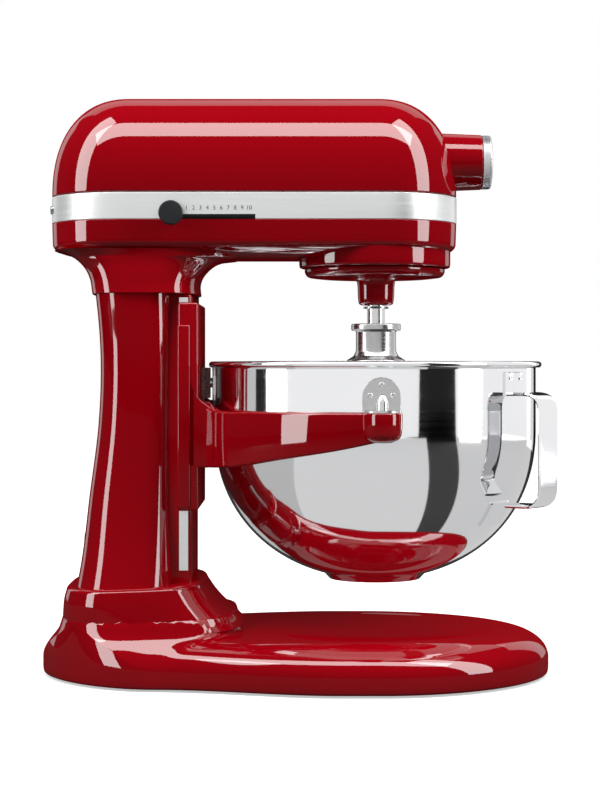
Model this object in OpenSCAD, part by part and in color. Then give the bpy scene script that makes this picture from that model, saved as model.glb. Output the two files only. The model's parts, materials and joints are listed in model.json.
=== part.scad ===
// Bowl-lift stand mixer, driven by a universal motor through a worm, a gear train and a planetary.
// X runs forward to the attachment hub, Z is up, and the origin is under the middle of the base.

/* [Base] */
// Length of the base, front to back
base_length = 367.2; // [364:0.1:370]
// Half of the base's width under the bowl
base_front_half = 112; // [108:1:116]
// Half of the base's width under the column
base_rear_half = 87; // [84:1:90]
// Height of the deck's rim
base_height = 34; // [33.5:0.1:35]
// How far the rubber feet stand proud of the casting
foot_height = 1.5; // [1:0.1:2]
// Depth of the shallow dish under the bowl
dish_depth = 7; // [5:0.5:7]
// Radius of that dish
dish_radius = 85; // [70:1:88]

/* [Column] */
// Height of the joint between the base and the column
column_foot_z = 64; // [62:0.5:65]
// Height of the joint between the column and the head
column_top_z = 274.5; // [274:0.1:275]
// Plane of the column's front shoulders
shoulder_x = -84; // [-85:0.5:-84]

/* [Head] */
// Radius of the head's round ends
head_radius = 56.5; // [56:0.1:57]
// Centre of the rear round end
head_rear_x = -120.4; // [-122:0.1:-119]
// Centre of the front round end
head_front_x = 60.4; // [60:0.1:61]
// Height of the head's underside
head_bottom_z = 300; // [299:0.5:301]
// Height of the trim band's lower edge
band_z = 326; // [325:0.5:327]
// Height of the trim band
band_height = 19; // [18:0.5:19]
// Height of the top of the head
head_top_z = 417; // [415:0.5:419]
// Squareness of the dome, where 2 is an ellipse
dome_power = 2.3; // [2:0.1:2.5]

/* [Attachment hub] */
// Height of the hub and motor axis
drive_z = 371.4; // [371:0.1:372]
// Radius of the socket that attachments slide into
socket_radius = 12.7; // [12.5:0.1:13]
// Depth of that socket
socket_depth = 30; // [25:1:31]
// Front face of the hub boss
boss_face_x = 134.9; // [134:0.1:136]
// Radius of the hub cover
cover_radius = 19.6; // [19:0.1:19.7]

/* [Gear train] */
// Distance of the mixing axis in front of the origin
mix_x = 57.6; // [57:0.1:58]
// Gear module of the spur gears and the worm
gear_module = 1.5; // [1.5:0.1:1.5]
// Teeth of the fixed ring gear
ring_teeth = 46; // [46:1:46]
// Teeth of the agitator pinion
planet_teeth = 14; // [14:1:14]
// Teeth of the centre gear
centre_teeth = 50; // [50:1:50]
// Teeth of the countershaft's pinion
pinion_teeth = 18; // [18:1:18]
// Teeth of the worm wheel
wheel_teeth = 24; // [24:1:24]
// Teeth of each bevel gear
bevel_teeth = 20; // [20:1:20]

/* [Bowl and whisk] */
// Radius of the bowl's upright wall
bowl_radius = 116.5; // [116:0.1:117]
// Underside of the bowl
bowl_bottom_z = 69; // [69:0.5:72]
// Height where the upright wall turns into the dome
bowl_turn_z = 177; // [175:1:180]
// Top of the rolled rim
bowl_rim_z = 226.5; // [226:0.1:227]
// Thickness of the bowl's sheet
bowl_sheet = 1.2; // [1:0.1:1.3]
// Lowest point of the whisk
whisk_bottom_z = 88; // [88:1:95]
// Loops of wire in the whisk
whisk_loops = 11; // [6:1:11]

/* [Bowl lift] */
// How far the bowl goes down
lift_travel = 38; // [30:1:38]
// How far the lever turns
lever_turn = 120; // [120:1:120]
// Distance of each locating pin from the middle
pin_reach = 130; // [129:0.5:131]

/* [Speed control] */
// Travel of the speed knob
speed_travel = 54; // [50:1:54]
// Position of the knob when it is off
knob_x = -86.6; // [-87:0.1:-86]

/* [Hidden] */
$fn = 64;

sides = [-1, 1];
half_length = base_length / 2;
head_joint_z = band_z + band_height / 2;
band_top_z = band_z + band_height;
agitator_offset = gear_module * (ring_teeth - planet_teeth) / 2;
counter_x = 12.6;
counter_y = 24;
counter_angle = atan2(counter_y, counter_x - mix_x);
wheel_radius = gear_module * wheel_teeth / 2;
worm_radius = counter_y - wheel_radius;
bevel_radius = 14;
drum_radius = 55;
drum_bottom_z = 294.1;
drum_top_z = 310.7;
yoke_z = 191.8;
lever_x = -105;
lever_z = 171;
crank_radius = lift_travel / 2 / sin(lever_turn / 2);
crank_lean = lever_turn / 2;
pin_start = [lever_x - crank_radius * cos(crank_lean), lever_z + crank_radius * sin(crank_lean)];
run_gap = 0.05;

// ---------- shared shapes ----------

function ease(t) = t * t * (3 - 2 * t);

// One quarter of a superellipse, from the outside to the top
function quarter(rx, rz, power, steps) =
    [for (i = [0:steps]) let (a = 90 * i / steps)
        [rx * pow(cos(a), 2 / power), rz * pow(sin(a), 2 / power)]];

function reverse(list) = [for (i = [len(list) - 1:-1:0]) list[i]];

// A closed skin through level rings that all have the same number of points
module skin(rings) {
    n = len(rings[0]);
    last = len(rings) - 1;
    walls = [for (i = [0:last - 1]) for (j = [0:n - 1]) let (k = (j + 1) % n)
        each [[i * n + j, (i + 1) * n + k, i * n + k], [i * n + j, (i + 1) * n + j, (i + 1) * n + k]]];
    floor_cap = [for (j = [0:n - 1]) j];
    top_cap = [for (j = [n - 1:-1:0]) last * n + j];
    polyhedron([for (r = rings) each r], concat([floor_cap, top_cap], walls), convexity = 8);
}

// A level ring shaped like a rounded box, from x0 to x1 and half_y to each side
function box_ring(x0, x1, half_y, z, power, n = 44) =
    [for (i = [0:n - 1]) let (a = 360 * (i + 0.5) / n, c = cos(a), s = sin(a))
        [(x0 + x1) / 2 + (x1 - x0) / 2 * sign(c) * pow(abs(c), 2 / power),
         half_y * sign(s) * pow(abs(s), 2 / power), z]];

// Moves a half profile around the head's outline: two round ends and two straight sides
module along_head() {
    translate([head_rear_x, 0, 0]) rotate([0, 0, 90]) rotate_extrude(angle = 180) children();
    translate([head_front_x, 0, 0]) rotate([0, 0, -90]) rotate_extrude(angle = 180) children();
    translate([head_rear_x, 0, 0]) rotate([90, 0, 90]) linear_extrude(head_front_x - head_rear_x) {
        children();
        mirror([1, 0]) children();
    }
}

// A cylinder along X
module along_x(x0, x1, r) {
    translate([x0, 0, 0]) rotate([0, 90, 0]) cylinder(h = x1 - x0, r = r);
}

// A cylinder along Y
module along_y(y0, y1, r) {
    translate([0, y1, 0]) rotate([90, 0, 0]) cylinder(h = y1 - y0, r = r);
}

// A ring around Z
module tube(outer, inner, z0, z1) {
    translate([0, 0, z0]) linear_extrude(z1 - z0) difference() {
        circle(outer);
        circle(inner);
    }
}

// The outline of a gear with straight-sided teeth, where fill is the tooth's share of the pitch
function gear_outline(teeth, fill = 0.4, tip = 0.8, root = 1.1) =
    let (r = gear_module * teeth / 2, step = 360 / teeth)
    [for (i = [0:teeth - 1]) for (p = [[-0.11, -root], [0.1, tip], [-0.1, tip], [0.11, -root]])
        let (side = p == [-0.11, -root] || p == [0.1, tip] ? -1 : 1,
             a = (i + side * fill / 2 + (side < 0 ? p[0] : p[0])) * step)
        (r + p[1] * gear_module) * [cos(a), sin(a)]];

// A screw with a round head, its axis along +Z and the head's seat at the origin
module screw(shank_r, length, head_r, head_h) {
    cylinder(h = head_h, r = head_r);
    translate([0, 0, -length]) cylinder(h = length, r = shank_r);
}

module at_mix(dy = 0) {
    translate([mix_x, dy, 0]) children();
}

module at_counter() {
    translate([counter_x, counter_y, 0]) children();
}

module at_drive() {
    translate([0, 0, drive_z]) children();
}

// ---------- base ----------

// Half of the base's width at x
function base_half(x) =
    x > 60 ? base_front_half * pow(max(0, 1 - pow((x - 60) / (half_length - 60), 1.9)), 1 / 1.9)
    : x > -99 ? base_rear_half + (base_front_half - base_rear_half) * ease(min(1, (x + 99) / 130))
    : base_rear_half * pow(max(0, 1 - pow((-99 - x) / (half_length - 99), 1.75)), 1 / 1.75);

function base_ring(inset, z, n = 64) =
    [for (i = [0:n - 1]) let (a = 360 * i / n, x = half_length * cos(a))
        [x * (1 - inset / half_length), sign(sin(a)) * base_half(x) * (1 - inset / base_front_half), z]];

function collar_ring(z) =
    box_ring(lookup(z, [[30, -172], [40, -170], [50, -167], [59, -166], [64, -161]]),
             lookup(z, [[30, -20], [36, -30], [43, -42], [47, -49], [54.6, -58], [64, -65]]),
             lookup(z, [[30, 80], [43, 76], [55, 71], [64, 68]]), z, 3.2);

module foot_spots() {
    for (x = [-135, 120], y = sides * 60) translate([x, x > 0 ? y : y * 0.85, 0]) children();
}

module bolt_spots() {
    for (x = [-146, -100], y = sides * 34) translate([x, y, 0]) children();
}

module base_casting() {
    color("#8c000f") difference() {
        union() {
            skin([for (p = [[2, foot_height], [0, 4], [0, 10], [1, 14], [6.5, 23.5], [18, 32], [30, base_height]])
                base_ring(p[0], p[1])]);
            skin([for (z = [30, 36, 43, 47, 54.6, 60, column_foot_z]) collar_ring(z)]);
        }
        skin([for (p = [[6, 0], [6, 14], [24, 22]]) base_ring(p[0], p[1], 48)]);
        translate([60, 0, base_height - dish_depth + dish_sphere]) sphere(dish_sphere, $fn = 128);
        bolt_spots() {
            cylinder(h = 80, r = 4.2);
            cylinder(h = 22, r = 7.4);
        }
        translate([-150, -20, 34]) cube([50, 40, 40]);
    }
}

dish_sphere = (pow(dish_radius, 2) + pow(dish_depth, 2)) / 2 / dish_depth;

module rubber_feet() {
    color("#202020") foot_spots() {
        cylinder(h = 6, r = 11);
        translate([0, 0, 6]) cylinder(h = 16, r = 5);
    }
}

module base_bolts() {
    color("silver") bolt_spots() translate([0, 0, 22]) mirror([0, 0, 1]) screw(4, 54, 7, 5);
}

// ---------- column ----------

function column_rear(z) =
    lookup(z, [[60, -157.5], [82, -154], [184, -141], [209, -140.3], [240, -140.6], [258, -142], [280, -143.7]]);

function column_half(z) = lookup(z, [[60, 66], [100, 57], [150, 51.5], [220, 51.5], [280, 56]]);

function column_ring(z, wall = 0) =
    box_ring(column_rear(z) + wall, shoulder_x - wall, column_half(z) - wall, z, 3.4);

column_steps = [column_foot_z, 82, 100, 125, 150, 184, 209, 240, 258, column_top_z];

module column_casting() {
    color("#8c000f") difference() {
        union() {
            skin([for (z = column_steps) column_ring(z)]);
            translate([shoulder_x - 8, -43, column_foot_z]) cube([19, 86, column_top_z - column_foot_z]);
        }
        difference() {
            skin([for (z = [74, 100, 150, 184, 209, 240, 258, 280]) column_ring(z, 5)]);
            translate([-160, -60, 60]) cube([80, 120, 20]);
        }
        translate([-95, -15, 100]) cube([30, 30, 160]);
        bolt_spots() translate([0, 0, 60]) cylinder(h = 30, r = 4.2);
        translate([lever_x, 0, lever_z]) along_y(30, 70, 8);
        translate([0, 0, 95]) along_x(-170, -120, 7);
    }
}

module cord_gland() {
    color("#202020") translate([0, 0, 95]) difference() {
        along_x(column_rear(95) - 1, column_rear(95) + 9, 7);
        along_x(-170, -120, 4);
    }
}

module guide_strips() {
    color("#9a9c9e") for (s = sides)
        translate([shoulder_x + 2, s > 0 ? 43 : -45, 79]) cube([6.3, 2, column_top_z - 82]);
}

module height_screw() {
    color("silver") translate([-73, 0, 271.2]) rotate([0, 90, 0]) difference() {
        screw(1.5, 8, 2.6, 2.5);
        translate([-5, -0.5, 1.5]) cube([10, 1, 2]);
    }
}

module lever_bush() {
    color("#b08d4a") translate([lever_x, 0, lever_z]) difference() {
        along_y(38, column_half(lever_z) + 1, 8);
        along_y(30, 70, 5 + run_gap);
    }
}

// ---------- head ----------

neck_rear = [[274.5, -145.7], [277, -146.5], [285, -148], [294, -152.5], [301, -160], [306, -168]];
neck_front = [[274.5, -69.7], [283, -69.7], [289, -67.3], [295, -63], [298.5, -57], [301, -50]];

function neck_ring(z, wall = 0) =
    box_ring(lookup(z, neck_rear) + wall, lookup(z, neck_front) - wall,
             lookup(z, [[274.5, 57.5], [285, 56], [301, 54], [306, 54]]) - wall, z, 3.4);

// Half profile of the lower shell: a flat underside that rolls up into the sides, and the ledge behind the band
roll_height = 12;
lower_outline = concat(
    [for (p = reverse(quarter(head_radius - 0.5, roll_height, 2.6, 14)))
        [p[0], head_bottom_z + roll_height - p[1]]],
    [[head_radius, band_z], [head_radius - 1.6, band_z], [head_radius - 1.6, head_joint_z], [0, head_joint_z]]);

lower_hollow = [[0, head_bottom_z + 4], [head_radius - 20, head_bottom_z + 5], [head_radius - 6, head_bottom_z + 12],
    [head_radius - 5, 350], [0, 350]];

module slot_cut() {
    translate([knob_x - 4, -70, band_z]) cube([speed_travel + 8, 30, 3.4]);
}

module lower_head_housing() {
    color("#8c000f") difference() {
        union() {
            along_head() polygon(lower_outline);
            skin([for (z = [column_top_z, 277, 280, 285, 289, 294, 298.5, 303]) neck_ring(z)]);
        }
        along_head() polygon(lower_hollow);
        skin([for (z = [270, 280, 290, 299, 306]) neck_ring(max(z, 274.5) + (z == 270 ? -4.5 : 0), 6)]);
        at_mix() translate([0, 0, 290]) cylinder(h = drum_top_z - 290, r = drum_radius + 0.1);
        slot_cut();
    }
}

dome_height = head_top_z - band_top_z;
upper_outline = concat(
    [[0, head_joint_z], [head_radius - 1.6, head_joint_z], [head_radius - 1.6, band_top_z]],
    quarter(head_radius, dome_height, dome_power, 18) + [for (i = [0:18]) [0, band_top_z]]);
upper_hollow = concat(
    [[0, head_joint_z - 1], [head_radius - 5, head_joint_z - 1]],
    quarter(head_radius - 5, dome_height - 4, dome_power, 14) + [for (i = [0:14]) [0, band_top_z]]);

module upper_head_housing() {
    color("#8c000f") difference() {
        union() {
            along_head() polygon(upper_outline);
            at_drive() translate([100, 0, 0]) rotate([0, 90, 0])
                cylinder(h = boss_face_x - 100, r1 = 21.4, r2 = 19.75);
        }
        difference() {
            along_head() polygon(upper_hollow);
            at_drive() along_x(98, 130, 20);
        }
        at_drive() along_x(80, 140, 16);
        translate([120, 0, drive_z]) along_y(10, 40, 3.6);
    }
}

module trim_band() {
    color("#b5b8b8") difference() {
        along_head() polygon([[head_radius - 1.6, band_z], [head_radius + 0.2, band_z],
            [head_radius + 0.2, band_top_z], [head_radius - 1.6, band_top_z]]);
        slot_cut();
    }
}

module trim_screws() {
    color("silver") for (a = sides * 14)
        translate([head_rear_x, 0, head_joint_z]) rotate([0, -90, a])
            translate([0, 0, head_radius + 0.2]) screw(1.5, 1.7, 3, 1.2);
}

module neck_bolts() {
    color("silver") for (x = [-128, -98], y = sides * 30)
        translate([x, y, 284]) screw(4, 4, 7, 5);
}

// ---------- gearcase and gears ----------

module gearcase() {
    color("#8c000f") difference() {
        union() {
            at_mix() {
                rotate_extrude($fn = 96) polygon(concat([[0, drum_bottom_z], [drum_radius - 1.5, drum_bottom_z],
                    [drum_radius, drum_bottom_z + 1.5]],
                    [for (a = [0:30:90]) [drum_radius - 2 + 2 * cos(a), drum_top_z - 2 + 2 * sin(a)]],
                    [[0, drum_top_z]]));
                translate([0, 0, drum_top_z]) cylinder(h = 3.3, r = 47);
            }
            at_counter() translate([0, 0, drum_top_z]) cylinder(h = 3.3, r = 16);
        }
        at_mix() {
            translate([0, 0, 290]) cylinder(h = 16.5, r = 46);
            translate([0, 0, 290]) cylinder(h = 30, r = 11);
        }
        at_counter() translate([0, 0, 308.5]) cylinder(h = 30, r = 8);
    }
}

module gearcase_screws() {
    color("silver") for (i = [0:4]) at_mix() rotate([0, 0, 72 * i + 36])
        translate([50.5, 0, drum_bottom_z + 1.2]) mirror([0, 0, 1]) screw(2, 6, 3, 1.1);
}

module ring_gear() {
    color("#77797c") at_mix() translate([0, 0, 297.5]) linear_extrude(9) difference() {
        circle(45.9);
        rotate(-90) polygon(gear_outline(ring_teeth, 0.6, 1.1, 0.8));
    }
}

module gear_plate() {
    color("#a5a7a9") difference() {
        union() {
            translate([0, 0, 338]) linear_extrude(4) {
                translate([mix_x, 0]) circle(47);
                translate([counter_x, counter_y]) circle(15);
                translate([-5, -20]) square([60, 40]);
            }
            translate([29, -9, 341]) cube([6, 18, 39]);
            for (a = [-90, 0, 90]) at_mix() rotate([0, 0, a])
                translate([43.2, 0, 0]) cylinder_between(3.6, drum_top_z + 3.3, 339);
        }
        at_mix() translate([0, 0, 330]) cylinder(h = 20, r = 11);
        at_counter() translate([0, 0, 330]) cylinder(h = 20, r = 8);
        at_drive() along_x(20, 40, 4 + run_gap);
    }
}

module shaft_bushes() {
    color("#b08d4a") {
        for (z = [306.5, 337]) at_mix() tube(11, 7.5 + run_gap, z, z + 6);
        for (z = [309, 337]) at_counter() tube(8, 5 + run_gap, z, z + 5);
        at_drive() difference() {
            along_x(86, boss_face_x - socket_depth, 16);
            along_x(80, 120, 9 + run_gap);
        }
    }
}

module planetary_housing() {
    color("#8c000f") difference() {
        union() {
            at_mix() rotate_extrude($fn = 96) polygon(concat(
                [[0, 286.5]],
                [for (a = [-90:15:0]) [47 + 4 * cos(a), 290.5 + 4 * sin(a)]],
                [[51, 293.6], [0, 293.6]]));
            at_mix(-agitator_offset) rotate_extrude() polygon(concat(
                [[0, 266.6], [10.5, 266.6]],
                [for (a = [-90:22.5:0]) [10.5 + 2 * cos(a), 268.6 + 2 * sin(a)]],
                [[13.1, 282], [14.5, 285], [17.5, 287], [17.5, 290], [0, 290]]));
            at_mix() cylinder_between(11, 290, 296);
        }
        at_mix() translate([0, 0, 280]) cylinder(h = 40, r = 7.5);
        at_mix(-agitator_offset) translate([0, 0, 260]) cylinder(h = 40, r = 8.6);
    }
}

module cylinder_between(r, z0, z1) {
    translate([0, 0, z0]) cylinder(h = z1 - z0, r = r);
}

module agitator_bush() {
    color("#b08d4a") at_mix(-agitator_offset) tube(8.6, agitator_r + run_gap, 266.6, 293.6);
}

agitator_r = 6.32;

module centre_shaft() {
    color("#8b8d90") at_mix() cylinder_between(7.5, 286.5, 364);
}

module centre_gear() {
    color("#77797c") at_mix() difference() {
        union() {
            translate([0, 0, 319]) linear_extrude(8) rotate(counter_angle) polygon(gear_outline(centre_teeth));
            cylinder_between(13, 327, 333);
        }
        cylinder_between(7.5, 300, 340);
    }
}

// A level ring of bevel teeth at a distance below the apex, as every size is in proportion to that distance
function bevel_ring(depth, shift) = [for (i = [0:bevel_teeth - 1])
    for (p = [[-0.3, -0.11], [-0.11, 0.08], [0.11, 0.08], [0.3, -0.11]])
        let (a = (i + shift + p[0]) * 360 / bevel_teeth, r = depth * (1 + p[1]))
        [r * cos(a), r * sin(a), -depth]];

// A bevel gear around Z with its apex at the origin, for two axes that meet at a right angle
module bevel(bore, shift) {
    difference() {
        union() {
            skin([bevel_ring(bevel_radius, shift), bevel_ring(8.5, shift)]);
            cylinder_between(bevel_radius - 2, -bevel_radius - 5, -bevel_radius);
        }
        cylinder_between(bore, -30, 10);
    }
}

module centre_bevel() {
    color("#77797c") at_mix() at_drive() bevel(7.5, 0);
}

module countershaft() {
    color("#8b8d90") at_counter() cylinder_between(5, 309, 378);
}

module worm_wheel() {
    color("#b08d4a") at_counter() difference() {
        union() {
            translate([0, 0, drive_z - 3]) linear_extrude(6) rotate(-90) polygon(gear_outline(wheel_teeth, 0.34));
            cylinder_between(9, drive_z - 16, drive_z - 3);
        }
        cylinder_between(5, 340, 380);
    }
}

module drive_pinion() {
    color("#77797c") at_counter() difference() {
        translate([0, 0, 318]) linear_extrude(10) rotate(counter_angle + 180 + 180 / pinion_teeth)
            polygon(gear_outline(pinion_teeth));
        cylinder_between(5, 300, 340);
    }
}

module agitator_shaft() {
    color("silver") at_mix(-agitator_offset) {
        difference() {
            cylinder_between(agitator_r, 227, 305.5);
            tube(8, agitator_r - 0.7, 264.2, 265.6);
        }
        translate([0, 0, 243]) along_x(-10, 10, 2.2);
    }
}

module agitator_pinion() {
    color("#77797c") at_mix(-agitator_offset) difference() {
        translate([0, 0, 298]) linear_extrude(7.5) rotate(-90) polygon(gear_outline(planet_teeth));
        cylinder_between(agitator_r, 290, 310);
    }
}

module retaining_washer() {
    color("silver") at_mix(-agitator_offset) tube(8.95, agitator_r - 0.7, 264.2, 265.6);
}

// ---------- motor ----------

module stator_core() {
    color("#6e6a66") at_drive() difference() {
        along_x(-104, -44, 38);
        along_x(-110, -40, 24.2);
        for (s = sides) translate([-110, s * 29 - 5, -14]) cube([70, 10, 28]);
    }
}

module field_coils() {
    color("#a85a32") at_drive() for (s = sides)
        translate([-107, s * 29 - 4.3, -13.6]) cube([66, 8.8, 27.2]);
}

module armature_core() {
    color("#77736e") at_drive() difference() {
        along_x(-101, -47, 23.5);
        along_x(-110, -40, 4);
        for (i = [0:11]) rotate([30 * i, 0, 0]) translate([-110, -1, 19]) cube([70, 2, 6]);
    }
}

module armature_shaft() {
    color("#8b8d90") at_drive() {
        along_x(-147, 36, 4);
        translate([counter_x, 0, 0]) rotate([0, 90, 0]) worm_thread();
    }
}

// Right-hand worm thread around Z, its middle tooth centred at the origin on the -X side of the frame
module worm_thread() {
    pitch = PI * gear_module;
    turns = 5;
    steps = 16;
    tip = worm_radius + 0.8 * gear_module;
    low = 3.6;
    base_half_w = 0.30 * pitch;
    tip_half_w = 0.08 * pitch;
    n = turns * steps;
    rings = [for (i = [0:n]) let (a = 360 * i / steps, z = (i / steps - turns / 2) * pitch)
        [for (p = [[low, -base_half_w], [tip, -tip_half_w], [tip, tip_half_w], [low, base_half_w]])
            [p[0] * cos(a + 90), p[0] * sin(a + 90), z + p[1]]]];
    walls = [for (i = [0:n - 1]) for (j = [0:3]) let (k = (j + 1) % 4)
        each [[i * 4 + j, i * 4 + k, (i + 1) * 4 + k], [i * 4 + j, (i + 1) * 4 + k, (i + 1) * 4 + j]]];
    polyhedron([for (r = rings) each r],
        concat(walls, [[3, 2, 1, 0], [for (j = [0:3]) 4 * n + j]]), convexity = 10);
}

module commutator() {
    color("#a85a32") at_drive() difference() {
        along_x(-127, -108, 13);
        along_x(-130, -100, 4);
        for (i = [0:11]) rotate([30 * i, 0, 0]) translate([-128, -0.4, 11.5]) cube([21, 0.8, 3]);
    }
}

module cooling_fan() {
    color("#d8d8d0") at_drive() difference() {
        union() {
            along_x(-38, -36, 32);
            along_x(-38, -28, 8);
            for (i = [0:8]) rotate([40 * i, 0, 0]) translate([-36.01, -1, 7]) cube([8, 2, 24]);
        }
        along_x(-40, -20, 4);
    }
}

module motor_front_bracket() {
    color("#a5a7a9") at_drive() difference() {
        intersection() {
            along_x(-24, -16, 40);
            translate([-30, -22, -45]) cube([20, 44, 80]);
        }
        along_x(-30, -10, 9);
    }
}

module motor_rear_bracket() {
    color("#a5a7a9") at_drive() difference() {
        intersection() {
            along_x(-143, -136, 35);
            translate([-150, -20, -45]) cube([20, 40, 80]);
        }
        along_x(-150, -130, 9);
    }
}

module armature_bearings() {
    color("#c9cbcd") at_drive() for (x = [-23, -142.5]) difference() {
        along_x(x, x + 6, 9);
        along_x(x - 1, x + 7, 4 + run_gap);
    }
}

module brush_holders() {
    color("#2b2b2b") at_drive() for (s = sides) difference() {
        translate([-124, s > 0 ? 16 : -36, -6]) cube([13, 20, 12]);
        translate([-121.5, s > 0 ? 10 : -34, -3.5]) cube([8, 24, 7]);
    }
}

module carbon_brushes() {
    color("#3a3a3a") at_drive() for (s = sides)
        translate([-121.5, s > 0 ? 13.3 : -31.3, -3.5]) cube([8, 18, 7]);
}

module speed_plate() {
    color("#4c6b52") translate([-158, -26, 345]) cube([2, 52, 30]);
}

// ---------- attachment hub ----------

module hub_sleeve() {
    color("#a5a7a9") at_drive() difference() {
        along_x(boss_face_x - socket_depth, boss_face_x, 16);
        along_x(boss_face_x - socket_depth - 1, 140, socket_radius);
        translate([120, 0, 0]) along_y(5, 30, 3.6);
    }
}

module hub_shaft() {
    color("#8b8d90") at_drive() difference() {
        along_x(mix_x + bevel_radius + 5, boss_face_x - socket_depth - 1, 9);
        translate([84, -4.8, -4.8]) cube([40, 9.6, 9.6]);
    }
}

module hub_bevel() {
    color("#77797c") at_mix() at_drive() rotate([0, -90, 0]) bevel(0.01, 0.5);
}

module hub_cover() {
    color("#d7d9da") difference() {
        union() {
            at_drive() translate([boss_face_x + 0.3, 0, 0]) rotate([0, 90, 0]) rotate_extrude() polygon(concat(
                [[0, 0], [cover_radius, 0]],
                [for (a = [0:22.5:90]) [cover_radius - 4 + 4 * cos(a), 3.4 + 4 * sin(a)]],
                [[0, 7.4]]));
            translate([hinge_x, 0, hinge_z]) along_y(-4, 4, 2.4);
        }
        translate([hinge_x, 0, hinge_z]) along_y(-5, 5, 1.1);
        for (s = sides) translate([hinge_x - 4, s > 0 ? 4 : -8.2, hinge_z - 4]) cube([8, 4.2, 8]);
    }
}

hinge_x = boss_face_x + 3;
hinge_z = drive_z + cover_radius + 1;

module hub_knob() {
    color("#202020") translate([120, 0, drive_z]) {
        difference() {
            along_y(22.5, 36, 10);
            for (i = [0:9]) rotate([0, 36 * i, 0]) translate([0, 20, 10.6]) along_y(0, 20, 1.4);
        }
        along_y(13.4, 23, 3.5);
    }
}

// ---------- speed control ----------

module speed_knob() {
    color("#303234") translate([knob_x, 0, 329.7]) {
        along_y(-head_radius - 12, -head_radius - 1.5, 8.55);
        translate([-2.5, -head_radius - 2, -2.9]) cube([5, 9.5, 1.9]);
    }
}

module speed_link() {
    color("#a5a7a9") translate([knob_x, 0, 0]) {
        translate([-5, -49, 323]) cube([10, 1.5, 10]);
        translate([-44, -49, 323]) cube([44, 1.5, 4]);
    }
}

// ---------- bowl lift ----------

// Side view of an arm: a foot that sweeps down from the slide and a taper out to the end cup
arm_outline = concat(
    [for (a = [0:15:90]) [-20 - 42 * cos(a), 232 - 40.2 * sin(a)]],
    [[mix_x, yoke_z], [mix_x, 173], [-10, 160], [-55, 152], [-80, 151.6], [-80, 262], [-66, 262]]);

module bowl_yoke() {
    color("#8c000f") {
        difference() {
            union() {
                translate([-72.4, -50.3, 121]) cube([4.2, 100.6, 147]);
                for (s = sides) {
                    translate([-83, s > 0 ? 45.3 : -50.3, 121]) cube([10.6, 5, 147]);
                    translate([-83, s > 0 ? 50.3 : -51.8, 123]) cube([9, 1.5, 129]);
                }
                for (s = sides) intersection() {
                    at_mix() rotate([0, 0, s > 0 ? 90 : -170]) translate([0, 0, 121])
                        rotate_extrude(angle = 80, $fn = 96) translate([122, 0]) square([8.5, 145]);
                    rotate([90, 0, 0]) translate([0, 0, -150]) linear_extrude(300) polygon(arm_outline);
                }
                for (s = sides) translate([mix_x, s * pin_reach, 0]) rotate_extrude() polygon(concat(
                    [[0, 172.2]],
                    [for (a = [-90:22.5:0]) [5.35 + 8 * cos(a), 180.2 + 8 * sin(a)]],
                    [[13.35, yoke_z], [0, yoke_z]]));
            }
            for (s = sides) translate([mix_x, s * pin_reach, 180]) cylinder(h = 20, r = 2.5);
            translate([0, 0, 204]) along_x(-80, -60, 2);
            for (z = [181, 201]) translate([0, 0, z]) along_x(-80, -60, 3);
        }
    }
}

module locating_pins() {
    color("silver") for (s = sides) translate([mix_x, s * pin_reach, 0]) {
        cylinder_between(2.5, 182, yoke_z);
        translate([0, 0, yoke_z]) cylinder(h = 12.5, r1 = 4.15, r2 = 1.65);
    }
}

module bowl_latch() {
    color("silver") difference() {
        union() {
            translate([-68.2, -14, 196]) cube([1.5, 28, 26]);
            for (s = sides) translate([-66.7, s > 0 ? 5.5 : -7, 200]) cube([4.5, 1.5, 22]);
        }
        translate([-70, -4.4, 203]) cube([1.5, 1, 1]);
    }
}

module lift_bracket() {
    color("#77797c") {
        for (z = [181, 201]) translate([0, 0, z]) along_x(-73.1, -68.2, 3);
        difference() {
            translate([-134, -5, pin_start[1] - 10]) cube([61, 9, 20]);
            translate([-132, -6, pin_start[1] - 6.2]) cube([22, 12, 12.4]);
        }
        translate([-104, -5, pin_start[1] + 10]) cube([8, 5, 5]);
    }
}

spring_top = 250;
spring_low = pin_start[1] + 15;

module lift_spring() {
    turns = 8;
    steps = 14;
    n = turns * steps;
    wire = 0.9;
    coil = 5;
    rings = [for (i = [0:n]) let (a = 360 * i / steps, z = spring_low + 1 + (spring_top - spring_low - 2) * i / n)
        [for (j = [0:5]) let (b = 60 * j)
            [(coil + wire * cos(b)) * cos(a), (coil + wire * cos(b)) * sin(a), z + wire * sin(b)]]];
    walls = [for (i = [0:n - 1]) for (j = [0:5]) let (k = (j + 1) % 6)
        each [[i * 6 + j, i * 6 + k, (i + 1) * 6 + k], [i * 6 + j, (i + 1) * 6 + k, (i + 1) * 6 + j]]];
    color("silver") translate([-100, -2.5, 0])
        polyhedron([for (r = rings) each r],
            concat(walls, [[for (j = [5:-1:0]) j], [for (j = [0:5]) 6 * n + j]]), convexity = 10);
}

module lift_shaft() {
    color("#8b8d90") {
        translate([lever_x, 0, lever_z]) {
            along_y(8, 64, 5);
            rotate([0, crank_lean - 90, 0]) translate([-crank_radius - 6, 5, -5]) cube([crank_radius + 11, 7, 10]);
        }
        translate([pin_start[0], 0, pin_start[1]]) along_y(-4, 8, 4);
    }
}

module lift_lever() {
    color("#202020") translate([lever_x, 0, lever_z]) {
        difference() {
            union() {
                along_y(57.5, 68, 11);
                translate([-7, 58, 0]) cube([14, 8, 78]);
                translate([0, 0, 80]) along_y(57.5, 80, 11);
            }
            along_y(50, 64, 5);
        }
    }
}

// ---------- bowl ----------

// The bowl's outer wall from the flat bottom up to the rim, moved inwards by an inset
function bowl_wall(inset, steps = 16) = let (drop = bowl_turn_z - bowl_bottom_z - inset)
    [for (i = [0:steps]) let (a = 73 - 73 * i / steps)
        [(bowl_radius - inset) * pow(cos(a), 2 / 2.15), bowl_turn_z - drop * pow(sin(a), 2 / 2.15)]];

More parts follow.
